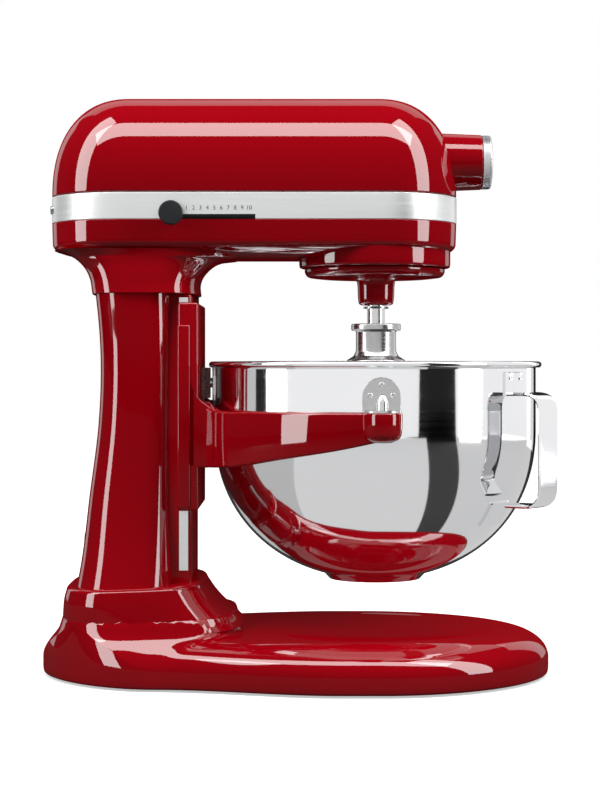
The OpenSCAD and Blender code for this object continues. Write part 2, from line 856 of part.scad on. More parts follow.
module bowl_shell() {
    floor_r = 33;
    color("#cfd3d6") at_mix() rotate_extrude($fn = 128) {
        polygon(concat(
            [[0, bowl_bottom_z], [floor_r, bowl_bottom_z]], bowl_wall(0), [[bowl_radius, bowl_rim_z - 2]],
            [[bowl_radius - bowl_sheet, bowl_rim_z - 2]],
            [for (i = [16:-1:0]) bowl_wall(bowl_sheet)[i]],
            [[floor_r, bowl_bottom_z + bowl_sheet], [0, bowl_bottom_z + bowl_sheet]]));
        translate([bowl_radius + 1.95, bowl_rim_z - 2.25]) circle(2.25, $fn = 20);
    }
}

module bowl_fittings() {
    color("#cfd3d6") at_mix() {
        for (s = sides) {
            intersection() {
                translate([0, 0, 193]) tube(bowl_radius + 1.8, bowl_radius, 0, 22.6);
                union() {
                    translate([-12.75, s > 0 ? 100 : -130, 190]) cube([25.5, 30, 13]);
                    translate([0, s > 0 ? 130 : -100, 203]) rotate([90, 0, 0]) cylinder(h = 30, r = 12.75);
                }
            }
            difference() {
                intersection() {
                    tube(bowl_radius + 26, bowl_radius, 192, 193.6);
                    union() {
                        translate([-12.75, s > 0 ? 100 : -pin_reach, 190]) cube([25.5, pin_reach - 100, 13]);
                        translate([0, s * pin_reach, 190]) cylinder(h = 13, r = 12.75);
                    }
                }
                translate([0, s * pin_reach, 185]) cylinder(h = 20, r = 4.4);
            }
        }
        intersection() {
            tube(bowl_radius + 2, bowl_radius, 195, 221);
            translate([-130, -12, 190]) cube([30, 24, 40]);
        }
        translate([0, 0, 211]) {
            along_x(-bowl_radius - 6, -bowl_radius - 1.8, 3.5);
            along_x(-bowl_radius - 7.4, -bowl_radius - 6, 4.9);
        }
    }
}

handle_angle = -36.5;
handle_reach = 144.5;
handle_low = 125.2;
handle_top = 205.3;
handle_half = 12.5;

// Outline of the handle strap with rounded outer corners
module strap_outline(inset) {
    r = 9 - inset;
    polygon(concat(
        [[bowl_radius - 4, handle_low + inset]],
        [for (a = [-90:15:0]) [handle_reach - 9 + r * cos(a), handle_low + 9 + r * sin(a)]],
        [for (a = [0:15:90]) [handle_reach - 9 + r * cos(a), handle_top - 9 + r * sin(a)]],
        [[bowl_radius - 4, handle_top - inset]]));
}

module bowl_handle() {
    color("#cfd3d6") at_mix() rotate([0, 0, handle_angle]) difference() {
        union() {
            translate([0, handle_half, 0]) rotate([90, 0, 0]) linear_extrude(2 * handle_half) difference() {
                strap_outline(0);
                strap_outline(3);
            }
            for (z = [[112, handle_low + 3], [handle_top - 3, 219]]) intersection() {
                tube(bowl_radius + 1.8, bowl_radius - 1, z[0], z[1]);
                translate([100, -handle_half, 0]) cube([30, 2 * handle_half, 300]);
            }
        }
        cylinder(h = 300, r = bowl_radius);
    }
}

// ---------- whisk ----------

module whisk_hub() {
    color("silver") at_mix(-agitator_offset) difference() {
        rotate_extrude() polygon(concat(
            [[0, 219], [19.5, 219], [20.95, 220.5], [20.95, 227.3]],
            [for (a = [90:-18:0]) [20.95 - 6.6 * cos(a), 234.6 - 7.3 + 7.3 * (1 - sin(a))]],
            [[14.35, 248.3], [17.7, 248.3], [17.7, 253.3], [0, 253.3]]));
        cylinder_between(agitator_r + run_gap, 226, 260);
        for (a = [0, 180]) rotate([0, 0, a]) {
            rotate([0, 0, -55]) rotate_extrude(angle = 78) translate([0, 239.8]) square([10.8, 6.6]);
            rotate([0, 0, -35]) translate([0, -2.7, 243]) cube([10.8, 5.4, 12]);
        }
    }
}

// One loop of wire in the plane that holds the axis, at a turn around it
function loop_points(depth) = [for (i = [0:20]) let (a = 180 * i / 20, low = whisk_bottom_z + depth, h = 219 - low)
    [16.5 * cos(a) + 34 * sin(a) * cos(a) * (1.35 - 0.35 * sin(a)), 220 - h * pow(sin(a), 0.8)]];

module whisk_wires() {
    color("silver") at_mix(-agitator_offset) for (k = [0:whisk_loops - 1])
        rotate([0, 0, 180 * k / whisk_loops]) wire_loop(loop_points(2.2 * k), 0.9);
}

module wire_loop(line, r) {
    n = len(line) - 1;
    rings = [for (i = [0:n]) let (d = line[min(n, i + 1)] - line[max(0, i - 1)], t = d / norm(d))
        [for (j = [0:4]) let (b = 72 * j) [line[i][0] - r * cos(b) * t[1], r * sin(b), line[i][1] + r * cos(b) * t[0]]]];
    walls = [for (i = [0:n - 1]) for (j = [0:4]) let (k = (j + 1) % 5)
        each [[i * 5 + j, i * 5 + k, (i + 1) * 5 + k], [i * 5 + j, (i + 1) * 5 + k, (i + 1) * 5 + j]]];
    polyhedron([for (q = rings) each q],
        concat(walls, [[for (j = [4:-1:0]) j], [for (j = [0:4]) 5 * n + j]]), convexity = 8);
}

base_casting();
rubber_feet();
base_bolts();
column_casting();
guide_strips();
cord_gland();
lower_head_housing();
upper_head_housing();
trim_band();
trim_screws();
neck_bolts();
gearcase();
gearcase_screws();
ring_gear();
gear_plate();
shaft_bushes();
stator_core();
field_coils();
motor_front_bracket();
motor_rear_bracket();
armature_bearings();
brush_holders();
carbon_brushes();
speed_plate();
hub_sleeve();
lever_bush();
height_screw();
armature_shaft();
armature_core();
commutator();
cooling_fan();
countershaft();
worm_wheel();
drive_pinion();
planetary_housing();
centre_shaft();
centre_gear();
centre_bevel();
agitator_bush();
agitator_shaft();
agitator_pinion();
retaining_washer();
whisk_hub();
whisk_wires();
hub_shaft();
hub_bevel();
hub_cover();
hub_knob();
speed_knob();
speed_link();
bowl_yoke();
locating_pins();
bowl_latch();
lift_bracket();
lift_spring();
bowl_shell();
bowl_fittings();
bowl_handle();
lift_shaft();
lift_lever();
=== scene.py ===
# %% [markdown]
# # A bowl-lift stand mixer
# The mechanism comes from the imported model: every shaft, gear and screw keeps its place and its mesh.
# This lesson covers what the eye sees: enamelled castings with tight reflections, a mirror-polished bowl,
# a brushed band, wires and controls. Lengths are written in millimetres and turned into metres once.

# %% Load the frame
import json
import math

import bmesh
import bpy
import numpy as np
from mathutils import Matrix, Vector

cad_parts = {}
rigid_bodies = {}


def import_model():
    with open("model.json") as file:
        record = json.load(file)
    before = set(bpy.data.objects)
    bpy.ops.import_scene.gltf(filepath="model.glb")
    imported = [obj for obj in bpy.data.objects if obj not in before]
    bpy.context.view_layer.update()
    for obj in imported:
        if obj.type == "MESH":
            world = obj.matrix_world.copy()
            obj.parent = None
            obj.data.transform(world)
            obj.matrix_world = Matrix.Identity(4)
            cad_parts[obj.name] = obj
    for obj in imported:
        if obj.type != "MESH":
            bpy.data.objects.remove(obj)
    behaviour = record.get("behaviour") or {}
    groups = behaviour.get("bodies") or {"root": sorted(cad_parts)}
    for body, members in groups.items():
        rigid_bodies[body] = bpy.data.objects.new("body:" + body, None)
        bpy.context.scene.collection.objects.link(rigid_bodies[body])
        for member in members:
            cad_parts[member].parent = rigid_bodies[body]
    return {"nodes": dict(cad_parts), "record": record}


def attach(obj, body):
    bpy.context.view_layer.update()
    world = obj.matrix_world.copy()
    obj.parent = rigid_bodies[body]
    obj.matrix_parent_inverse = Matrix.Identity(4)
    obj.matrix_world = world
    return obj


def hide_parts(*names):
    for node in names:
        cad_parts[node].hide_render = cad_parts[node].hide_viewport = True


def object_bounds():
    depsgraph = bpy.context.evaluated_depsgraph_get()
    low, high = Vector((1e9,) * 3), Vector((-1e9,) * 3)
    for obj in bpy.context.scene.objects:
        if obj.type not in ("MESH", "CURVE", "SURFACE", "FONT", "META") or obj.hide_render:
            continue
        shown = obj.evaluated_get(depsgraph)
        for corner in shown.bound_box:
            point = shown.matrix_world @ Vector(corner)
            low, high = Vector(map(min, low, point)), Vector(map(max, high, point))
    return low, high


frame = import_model()
cad_box = [list(corner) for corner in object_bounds()]
MM = 0.001

# %% [markdown]
# ## Camera and studio
# The camera stands level at the height of the bowl's rim, so the rim is seen edge on, and far enough away for
# the mixer to look almost flat. A small upward shift keeps the verticals upright while the base stays in view.

# %% Camera
camera = bpy.data.objects.new("camera", bpy.data.cameras.new("camera"))
camera.data.lens = 84.9
camera.data.sensor_width = 36
camera.data.sensor_fit = "AUTO"
camera.data.shift_y = -0.041
camera.location = (0.0032, -1.375, 0.2223)
camera.rotation_euler = (math.radians(90), 0, 0)
bpy.context.scene.collection.objects.link(camera)
bpy.context.scene.camera = camera
print("camera", tuple(camera.location))

# %% [markdown]
# The room is white where the camera looks at it, and dark where the enamel looks at it: studios hang black
# cards round a glossy object for the same reason, so that a red surface stays deep red between the lamps.
# The colours are shown as they are, without a film look, so the red keeps its full strength.

# %% World
scene = bpy.context.scene
scene.view_settings.view_transform = "Standard"
world = bpy.data.worlds.new("studio")
scene.world = world
world.use_nodes = True
tree = world.node_tree
tree.nodes.clear()
out = tree.nodes.new("ShaderNodeOutputWorld")
either = tree.nodes.new("ShaderNodeMixShader")
room = tree.nodes.new("ShaderNodeBackground")
seen = tree.nodes.new("ShaderNodeBackground")
path = tree.nodes.new("ShaderNodeLightPath")
room.inputs["Color"].default_value = (1, 1, 1, 1)
room.inputs["Strength"].default_value = 0.02
seen.inputs["Color"].default_value = (1, 1, 1, 1)
tree.links.new(path.outputs["Is Camera Ray"], either.inputs["Fac"])
tree.links.new(room.outputs[0], either.inputs[1])
tree.links.new(seen.outputs[0], either.inputs[2])
tree.links.new(either.outputs[0], out.inputs["Surface"])
print("world", world.name)

# %% [markdown]
# The floor is pale and matt. To the camera it also glows, a painted light that brings it up to the white of the room;
# the glow is weaker near the mixer, a painted shade round it, so that the contact shadow shows. To the mixer's
# reflections it is a dull grey sweep.

# %% Floor
pale = bpy.data.materials.new("pale_floor")
pale.use_nodes = True
tree = pale.node_tree
tree.nodes.clear()
out = tree.nodes.new("ShaderNodeOutputMaterial")
either = tree.nodes.new("ShaderNodeMixShader")
painted_glow_and_matt = tree.nodes.new("ShaderNodeAddShader")
glow = tree.nodes.new("ShaderNodeEmission")
matt = tree.nodes.new("ShaderNodeBsdfDiffuse")
dull = tree.nodes.new("ShaderNodeBsdfDiffuse")
path = tree.nodes.new("ShaderNodeLightPath")
spot = tree.nodes.new("ShaderNodeTexCoord")
away = tree.nodes.new("ShaderNodeVectorMath")
away.operation = "LENGTH"
# Painted shade: the floor's glow is 0.5 within 0.22 m of its middle, under the mixer, and rises to 1.0 at 0.75 m.
glow_dimmed_near_mixer = tree.nodes.new("ShaderNodeMapRange")
for socket, value in (("From Min", 0.22), ("From Max", 0.75), ("To Min", 0.5), ("To Max", 1.0)):
    glow_dimmed_near_mixer.inputs[socket].default_value = value
tree.links.new(spot.outputs["Object"], away.inputs[0])
tree.links.new(away.outputs["Value"], glow_dimmed_near_mixer.inputs["Value"])
tree.links.new(glow_dimmed_near_mixer.outputs["Result"], glow.inputs["Strength"])
matt.inputs["Color"].default_value = (0.85, 0.85, 0.85, 1)
dull.inputs["Color"].default_value = (0.05, 0.05, 0.05, 1)
tree.links.new(glow.outputs[0], painted_glow_and_matt.inputs[0])
tree.links.new(matt.outputs[0], painted_glow_and_matt.inputs[1])
tree.links.new(path.outputs["Is Camera Ray"], either.inputs["Fac"])
tree.links.new(dull.outputs[0], either.inputs[1])
tree.links.new(painted_glow_and_matt.outputs[0], either.inputs[2])
tree.links.new(either.outputs[0], out.inputs["Surface"])
reach = 6.0
sheet = bpy.data.meshes.new("floor")
sheet.from_pydata([(-reach, -reach, 0), (reach, -reach, 0), (reach, reach, 0), (-reach, reach, 0)], [],
                  [(0, 1, 2, 3)])
sheet.materials.append(pale)
floor = bpy.data.objects.new("floor", sheet)
scene.collection.objects.link(floor)
print("floor", reach * 2, "m across")

# %% [markdown]
# Softboxes make the mixer's look. Each one is a large lamp whose clean edges show in the enamel as a sharp strip:
# one overhead along the head, and one upright at each side. The polished steel has its own lamps, which light
# nothing else: a mirror needs a wide bright room, and the same room would bleach the red.

# %% Lamps
steel_only = bpy.data.collections.new("steel_only")
shade_makers = bpy.data.collections.new("shade_makers")
head_side = bpy.data.collections.new("head_side")
stand_side = bpy.data.collections.new("stand_side")


def softbox(name, turn, rise, far, size, glow, tint=(1, 1, 1), aim=(0.0, 0.0, 0.25), only=None):
    """A rectangular lamp of size (across, up) metres, far metres from its aim: turned turn degrees from the
    front towards +X and raised rise degrees. Glow is the brightness of its face: watts over pi and area."""
    a, e = math.radians(turn), math.radians(rise)
    lamp = bpy.data.lights.new(name, "AREA")
    lamp.shape = "RECTANGLE"
    lamp.size, lamp.size_y = size
    lamp.energy = glow * math.pi * size[0] * size[1]
    lamp.color = tint
    holder = bpy.data.objects.new(name, lamp)
    aim = Vector(aim)
    holder.location = aim + far * Vector((math.sin(a) * math.cos(e), -math.cos(a) * math.cos(e), math.sin(e)))
    holder.rotation_euler = (aim - holder.location).to_track_quat("-Z", "Y").to_euler()
    scene.collection.objects.link(holder)
    if only:
        holder.light_linking.receiver_collection = only
    return holder


overhead = softbox("overhead", 0, 62, 1.30, (2.5, 0.48), 4.7, aim=(-0.03, 0, 0.38))
softbox("left_for_head", -73, 28, 1.70, (0.60, 3.0), 4.7, only=head_side)
softbox("left_for_stand", -50, 16, 1.70, (0.55, 2.6), 4.7, only=stand_side)
softbox("right", 67, 28, 1.70, (0.62, 3.0), 4.7)
softbox("back_high", 180, 50, 1.8, (2.2, 0.9), 0.6)
softbox("back_left", -140, 12, 1.9, (0.6, 1.4), 0.8)
softbox("back_right", 140, 12, 1.9, (0.6, 1.4), 0.8)
softbox("steel_front", -21, 17, 2.1, (5.4, 3.4), 1.05, aim=(0.06, 0, 0.62), only=steel_only)
softbox("steel_right", 98, 17, 2.1, (4.4, 3.4), 1.05, aim=(0.06, 0, 0.62), only=steel_only)
softbox("steel_left", -118, 17, 2.1, (2.2, 3.4), 0.6, aim=(0.06, 0, 0.62), only=steel_only)


def floor_lamp(name, from_turn, to_turn, glow):
    """A lamp that lies on the floor facing up, with one edge on a line from under the bowl: it fills the quarter
    from from_turn to to_turn degrees, counted from the front towards +X."""
    side = 3.0
    a = math.radians((from_turn + to_turn) / 2)
    lamp = bpy.data.lights.new(name, "AREA")
    lamp.shape = "SQUARE"
    lamp.size = side
    lamp.energy = glow * math.pi * side**2
    holder = bpy.data.objects.new(name, lamp)
    far = side / math.sqrt(2)
    holder.location = (0.0576 + far * math.sin(a), -far * math.cos(a), 0.001)
    holder.rotation_euler = (math.pi, 0, a + math.pi / 4)
    scene.collection.objects.link(holder)
    holder.light_linking.receiver_collection = steel_only
    holder.visible_camera = False


floor_lamp("steel_floor_front", -57, 33, 0.72)
floor_lamp("steel_floor_right", 55, 145, 0.66)
floor_lamp("steel_floor_left", -147, -57, 0.5)

# %% [markdown]
# ## Tools for surfaces
# Every new piece is a grid of points worked out with numpy: rows follow the shape up or along, and columns go
# round it. A grid that goes all the way round closes on itself, and its ends can be capped with a centre point.

# %% Mesh tools


def grid_faces(rows, cols, wrap):
    """Quads of a rows x cols grid, as point numbers; with wrap the last column joins the first."""
    r, c = np.meshgrid(np.arange(rows - 1), np.arange(cols if wrap else cols - 1), indexing="ij")
    here, beside = (r * cols + c).ravel(), (r * cols + (c + 1) % cols).ravel()
    return np.stack([here, beside, beside + cols, here + cols], axis=1)


def closed_grid(points, wrap=True, cap_first=True, cap_last=True):
    """Points (rows, cols, 3) made a shell: its quads, and a fan to the middle of each capped end ring."""
    rows, cols, _ = points.shape
    verts, faces = [points.reshape(-1, 3)], [tuple(q) for q in grid_faces(rows, cols, wrap).tolist()]
    count = rows * cols
    for row, wanted, turn in ((0, cap_first, True), (rows - 1, cap_last, False)):
        if wanted:
            verts.append(points[row].mean(axis=0)[None])
            ring = row * cols + np.arange(cols)
            after = np.roll(ring, -1)
            pairs = np.stack([after, ring] if turn else [ring, after], axis=1)
            faces += [(a, b, count) for a, b in pairs.tolist()]
            count += 1
    return np.concatenate(verts), faces


def outward(verts, faces):
    """Turns a closed shell's faces round where the volume they enclose comes out negative."""
    tri = np.array([f[:3] for f in faces] + [(f[0], f[2], f[3]) for f in faces if len(f) == 4])
    a, b, c = verts[tri[:, 0]], verts[tri[:, 1]], verts[tri[:, 2]]
    volume = np.einsum("ij,ij->i", a, np.cross(b, c)).sum()
    return faces if volume >= 0 else [tuple(reversed(f)) for f in faces]


def weld(mesh):
    """Joins points less than 0.03 mm apart, which closes the poles of turned shells and the seams of loops."""
    work = bmesh.new()
    work.from_mesh(mesh)
    bmesh.ops.remove_doubles(work, verts=work.verts, dist=0.03 * MM)
    work.to_mesh(mesh)
    work.free()


def make_piece(name, shells, coat, body, stands_for=(), sharp=35):
    """Builds one mesh from (points, faces) shells in millimetres and lets it ride on a body."""
    verts, faces, base = [], [], 0
    for points, shell_faces in shells:
        shell_faces = outward(points, shell_faces)
        verts.append(points)
        faces += [tuple(i + base for i in f) for f in shell_faces]
        base += len(points)
    mesh = bpy.data.meshes.new(name)
    mesh.from_pydata((np.concatenate(verts) * MM).tolist(), [], faces)
    weld(mesh)
    mesh.shade_smooth()
    mesh.set_sharp_from_angle(angle=math.radians(sharp))
    mesh.materials.append(coat)
    piece = bpy.data.objects.new(name, mesh)
    bpy.context.scene.collection.objects.link(piece)
    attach(piece, body)
    if stands_for:
        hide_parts(*stands_for)
    print(f"{name}: {len(faces)} faces")
    return piece


def smooth_through(knots, at):
    """A smooth curve through (key, value) knots: a cubic between each pair, its slope from the neighbours."""
    k = np.array(knots, float)
    slope = np.gradient(k[:, 1], k[:, 0])
    i = np.clip(np.searchsorted(k[:, 0], at) - 1, 0, len(k) - 2)
    step = k[i + 1, 0] - k[i, 0]
    t = np.clip((at - k[i, 0]) / step, 0, 1)
    h = 2 * t**3 - 3 * t**2 + 1
    return (h * k[i, 1] + (1 - h) * k[i + 1, 1]
            + step * ((t**3 - 2 * t**2 + t) * slope[i] + (t**3 - t**2) * slope[i + 1]))


def even(curve, count, closed=False):
    """The same curve with its points spread evenly along its length."""
    line = np.concatenate([curve, curve[:1]]) if closed else curve
    far = np.concatenate([[0], np.cumsum(np.linalg.norm(np.diff(line, axis=0), axis=1))])
    at = np.linspace(0, far[-1], count + 1)[:-1] if closed else np.linspace(0, far[-1], count)
    return np.stack([np.interp(at, far, line[:, i]) for i in range(line.shape[1])], axis=1)


def quarter(across, up, power, count):
    """A superellipse's quarter from (across, 0) to (0, up): both cos and sin raised to 2 over the power."""
    a = np.linspace(0, math.pi / 2, 400)
    line = np.stack([across * np.cos(a) ** (2 / power), up * np.sin(a) ** (2 / power)], axis=1)
    return even(line, count)


def rounded_ring(x0, x1, half, power, count=160):
    """A level rounded box between x0 and x1, half wide to each side, its points evenly spaced."""
    a = np.linspace(0, 2 * math.pi, 2400, endpoint=False)
    c, s = np.cos(a), np.sin(a)
    line = np.stack([(x0 + x1) / 2 + (x1 - x0) / 2 * np.sign(c) * abs(c) ** (2 / power),
                     half * np.sign(s) * abs(s) ** (2 / power)], axis=1)
    return even(line, count, closed=True)


def stack(rings, heights):
    """Level rings (count, 2) at their heights, as one grid of points."""
    return np.stack([np.column_stack([r, np.full(len(r), z)]) for r, z in zip(rings, heights)])


def turned(profile, centre=(0, 0), count=160):
    """A profile of (radius, height) rows turned once around an upright axis at centre."""
    a = np.linspace(0, 2 * math.pi, count, endpoint=False)
    r, z = profile[:, :1], profile[:, 1:]
    return np.stack([centre[0] + r * np.cos(a), centre[1] + r * np.sin(a), np.broadcast_to(z, (len(r), count))],
                    axis=2)


def turned_x(profile, axis_z, count=96, axis_y=0.0):
    """A profile of (radius, x) rows turned around a level axis along X."""
    a = np.linspace(0, 2 * math.pi, count, endpoint=False)
    r, x = profile[:, :1], profile[:, 1:]
    return np.stack([np.broadcast_to(x, (len(r), count)), axis_y + r * np.cos(a), axis_z + r * np.sin(a)], axis=2)


def turned_y(profile, x, z, count=64):
    """A profile of (radius, y) rows turned around a level axis along Y."""
    a = np.linspace(0, 2 * math.pi, count, endpoint=False)
    r, y = profile[:, :1], profile[:, 1:]
    return np.stack([x + r * np.cos(a), np.broadcast_to(y, (len(r), count)), z + r * np.sin(a)], axis=2)


def round_corner(path, radius, count=8):
    """A polyline with each inner corner replaced by a curve that starts and ends radius away from it."""
    path = np.array(path, float)
    rad = np.broadcast_to(radius, (len(path),))
    out = [path[:1]]
    t = np.linspace(0, 1, count)[:, None]
    for i in range(1, len(path) - 1):
        before, corner, after = path[i - 1], path[i], path[i + 1]
        la, lb = np.linalg.norm(before - corner), np.linalg.norm(after - corner)
        r = min(rad[i], la / 2, lb / 2)
        a, b = corner + (before - corner) / la * r, corner + (after - corner) / lb * r
        out.append((1 - t) ** 2 * a + 2 * t * (1 - t) * corner + t**2 * b)
    return np.concatenate(out + [path[-1:]])


def slab(x, y, z, radius, steps=6):
    """A box from x[0] to x[1] and so on, every edge rolled over a radius: rounded rectangles that grow along a
    quarter circle at the bottom and shrink along one at the top."""
    a = np.linspace(0, math.pi / 2, steps)
    grown = np.concatenate([np.sin(a), np.cos(a)])
    level = np.concatenate([z[0] + radius * (1 - np.cos(a)), z[1] - radius * (1 - np.sin(a))])
    rings = []
    for k in grown:
        corners = []
        for turn, (cx, cy) in enumerate([(x[1], y[1]), (x[0], y[1]), (x[0], y[0]), (x[1], y[0])]):
            sx, sy = (1 if cx == x[1] else -1), (1 if cy == y[1] else -1)
            angle = a + turn * math.pi / 2
            reach = max(radius * k, 1e-3)
            corners.append(np.column_stack([cx - sx * radius + reach * np.cos(angle),
                                            cy - sy * radius + reach * np.sin(angle)]))
        rings.append(np.concatenate(corners))
    return stack(rings, level)


print("mesh tools ready")

# %% [markdown]
# ## Finishes
# Each finish is a material of its own, and effects that several share are node groups with named inputs: a slow
# drift of colour, the small unevenness that handling leaves in a gloss, and the straight grain of brushed metal.

# %% Node helpers


def new_group(name, inputs, outputs):
    """An empty shader group with its sockets: {name: (kind, default)} in, {name: kind} out."""
    group = bpy.data.node_groups.new(name, "ShaderNodeTree")
    for label, (kind, value) in inputs.items():
        sock = group.interface.new_socket(label, in_out="INPUT", socket_type=kind)
        sock.default_value = value
    for label, kind in outputs.items():
        group.interface.new_socket(label, in_out="OUTPUT", socket_type=kind)
    return group, group.nodes.new("NodeGroupInput"), group.nodes.new("NodeGroupOutput")


def add(tree, kind, links=(), **values):
    """Adds a node, sets its plain properties, its input values by name, and its links."""
    node = tree.nodes.new(kind)
    for key, value in values.items():
        if hasattr(node, key) and key not in node.inputs:
            setattr(node, key, value)
        else:
            node.inputs[key.replace("_", " ")].default_value = value
    for socket, source in dict(links).items():
        tree.links.new(source, node.inputs[socket])
    return node


NUMBER, COLOUR, VECTOR = "NodeSocketFloat", "NodeSocketColor", "NodeSocketVector"

# %% Colour drift: two near colours that cloud into each other
drift, g_in, g_out = new_group("colour_drift",
                               {"Vector": (VECTOR, (0, 0, 0)), "First": (COLOUR, (1, 1, 1, 1)),
                                "Second": (COLOUR, (1, 1, 1, 1)), "Scale": (NUMBER, 10.0)},
                               {"Colour": COLOUR})
cloud = add(drift, "ShaderNodeTexNoise", {"Vector": g_in.outputs["Vector"], "Scale": g_in.outputs["Scale"]},
            Detail=4.0)
blend = add(drift, "ShaderNodeMix", {"Factor": cloud.outputs["Fac"]}, data_type="RGBA")
drift.links.new(g_in.outputs["First"], blend.inputs[6])
drift.links.new(g_in.outputs["Second"], blend.inputs[7])
drift.links.new(blend.outputs[2], g_out.inputs["Colour"])
print("group", drift.name)

# %% Handled gloss: roughness that rises in smears and specks of dust
handled, g_in, g_out = new_group("handled_gloss",
                                 {"Vector": (VECTOR, (0, 0, 0)), "Clean": (NUMBER, 0.05),
                                  "Smeared": (NUMBER, 0.12), "Scale": (NUMBER, 14.0), "Dust": (NUMBER, 0.1)},
                                 {"Roughness": NUMBER, "Height": NUMBER})
smear = add(handled, "ShaderNodeTexNoise", {"Vector": g_in.outputs["Vector"], "Scale": g_in.outputs["Scale"]},
            Detail=6.0, Roughness=0.6)
ramp = add(handled, "ShaderNodeMapRange", {"Value": smear.outputs["Fac"], "To Min": g_in.outputs["Clean"],
                                           "To Max": g_in.outputs["Smeared"]}, From_Min=0.42, From_Max=0.72)
speck = add(handled, "ShaderNodeTexVoronoi", {"Vector": g_in.outputs["Vector"]}, Scale=620.0)
dot = add(handled, "ShaderNodeMath", {0: speck.outputs["Distance"]}, operation="LESS_THAN")
dot.inputs[1].default_value = 0.10
dusty = add(handled, "ShaderNodeMath", {0: dot.outputs[0], 1: g_in.outputs["Dust"]}, operation="MULTIPLY")
total = add(handled, "ShaderNodeMath", {0: ramp.outputs["Result"], 1: dusty.outputs[0]}, operation="ADD")
handled.links.new(total.outputs[0], g_out.inputs["Roughness"])
handled.links.new(dusty.outputs[0], g_out.inputs["Height"])
print("group", handled.name)

# %% Straight grain: noise stretched along one way, for brushed and turned metal
grain, g_in, g_out = new_group("straight_grain",
                               {"Vector": (VECTOR, (0, 0, 0)), "Stretch": (VECTOR, (1, 1, 1)),
                                "Low": (NUMBER, 0.2), "High": (NUMBER, 0.4)},
                               {"Roughness": NUMBER, "Height": NUMBER, "Tone": NUMBER})
pulled = add(grain, "ShaderNodeVectorMath", {0: g_in.outputs["Vector"], 1: g_in.outputs["Stretch"]},
             operation="MULTIPLY")
streak = add(grain, "ShaderNodeTexNoise", {"Vector": pulled.outputs[0]}, Scale=1.0, Detail=5.0, Roughness=0.65)
spread = add(grain, "ShaderNodeMapRange", {"Value": streak.outputs["Fac"], "To Min": g_in.outputs["Low"],
                                           "To Max": g_in.outputs["High"]}, From_Min=0.3, From_Max=0.7)
grain.links.new(spread.outputs["Result"], g_out.inputs["Roughness"])
grain.links.new(streak.outputs["Fac"], g_out.inputs["Height"])
grain.links.new(streak.outputs["Fac"], g_out.inputs["Tone"])
print("group", grain.name)

# %% [markdown]
# A finish starts from the same three nodes: object coordinates, the shader and the output. The helper returns
# them so that each recipe only says what is special about it.

# %% Start of every finish


def start_finish(name, **values):
    """A new material with its shader; values set the shader's own sockets, blanks written as underscores."""
    coat = bpy.data.materials.new(name)
    coat.use_nodes = True
    tree = coat.node_tree
    tree.nodes.clear()
    out = tree.nodes.new("ShaderNodeOutputMaterial")
    shader = tree.nodes.new("ShaderNodeBsdfPrincipled")
    tree.links.new(shader.outputs[0], out.inputs["Surface"])
    for key, value in values.items():
        shader.inputs[key.replace("_", " ")].default_value = value
    place = tree.nodes.new("ShaderNodeTexCoord").outputs["Object"]
    return coat, tree, shader, place


def use_group(tree, group, links=(), **values):
    node = tree.nodes.new("ShaderNodeGroup")
    node.node_tree = group
    for key, value in values.items():
        node.inputs[key.replace("_", " ")].default_value = value
    for socket, source in dict(links).items():
        tree.links.new(source, node.inputs[socket])
    return node


def bump(tree, shader, height, strength, distance):
    node = add(tree, "ShaderNodeBump", {"Height": height}, Strength=strength, Distance=distance)
    tree.links.new(node.outputs["Normal"], shader.inputs["Normal"])
    return node


# %% [markdown]
# Red enamel is a deep red base under a thick clear coat. Powder coat never levels perfectly, so a very low,
# broad bump gives the reflections the slight waver called orange peel. Seen edge on, the coat's gloss is held
# back, so that outlines stay red and do not turn to a mirror of the room.

# %% Red enamel
red_enamel, tree, shader, place = start_finish("red_enamel", IOR=1.5, Specular_IOR_Level=0.0,
                                               Coat_Roughness=0.03, Coat_IOR=1.85)
edge = tree.nodes.new("ShaderNodeLayerWeight")
clear = add(tree, "ShaderNodeMapRange", {"Value": edge.outputs["Facing"]}, From_Min=0.70, From_Max=0.97, To_Min=1.0,
            To_Max=0.12)
tree.links.new(clear.outputs["Result"], shader.inputs["Coat Weight"])
tint = use_group(tree, drift, {"Vector": place}, First=(0.38, 0.0004, 0.0060, 1), Second=(0.34, 0.0003, 0.0050, 1),
                 Scale=9.0)
gloss = use_group(tree, handled, {"Vector": place}, Clean=0.09, Smeared=0.14, Scale=18.0, Dust=0.25)
tree.links.new(tint.outputs["Colour"], shader.inputs["Base Color"])
tree.links.new(gloss.outputs["Roughness"], shader.inputs["Roughness"])
peel = add(tree, "ShaderNodeTexNoise", {"Vector": place}, Scale=260.0, Detail=1.0)
bump(tree, shader, peel.outputs["Fac"], 0.035, 0.0004)
print("finish", red_enamel.name)

# %% [markdown]
# The bowl is polished steel. Up close it carries hair-fine rings from the polishing wheel, which run round it, so
# the grain is noise pulled out along the height: a stretch that is high in Z and low in X and Y.

# %% Mirror-polished steel
bowl_steel, tree, shader, place = start_finish("bowl_steel", Metallic=1.0)
tint = use_group(tree, drift, {"Vector": place}, First=(0.80, 0.80, 0.81, 1), Second=(0.74, 0.745, 0.76, 1),
                 Scale=7.0)
rings = use_group(tree, grain, {"Vector": place}, Stretch=(6, 6, 900), Low=0.035, High=0.085)
tree.links.new(tint.outputs["Colour"], shader.inputs["Base Color"])
tree.links.new(rings.outputs["Roughness"], shader.inputs["Roughness"])
bump(tree, shader, rings.outputs["Height"], 0.02, 0.0002)
print("finish", bowl_steel.name)


# %% [markdown]
# Machined and plated steel differ mainly in colour, roughness and the way their tool marks run, so one recipe
# serves them all.

# %% Metals from one recipe


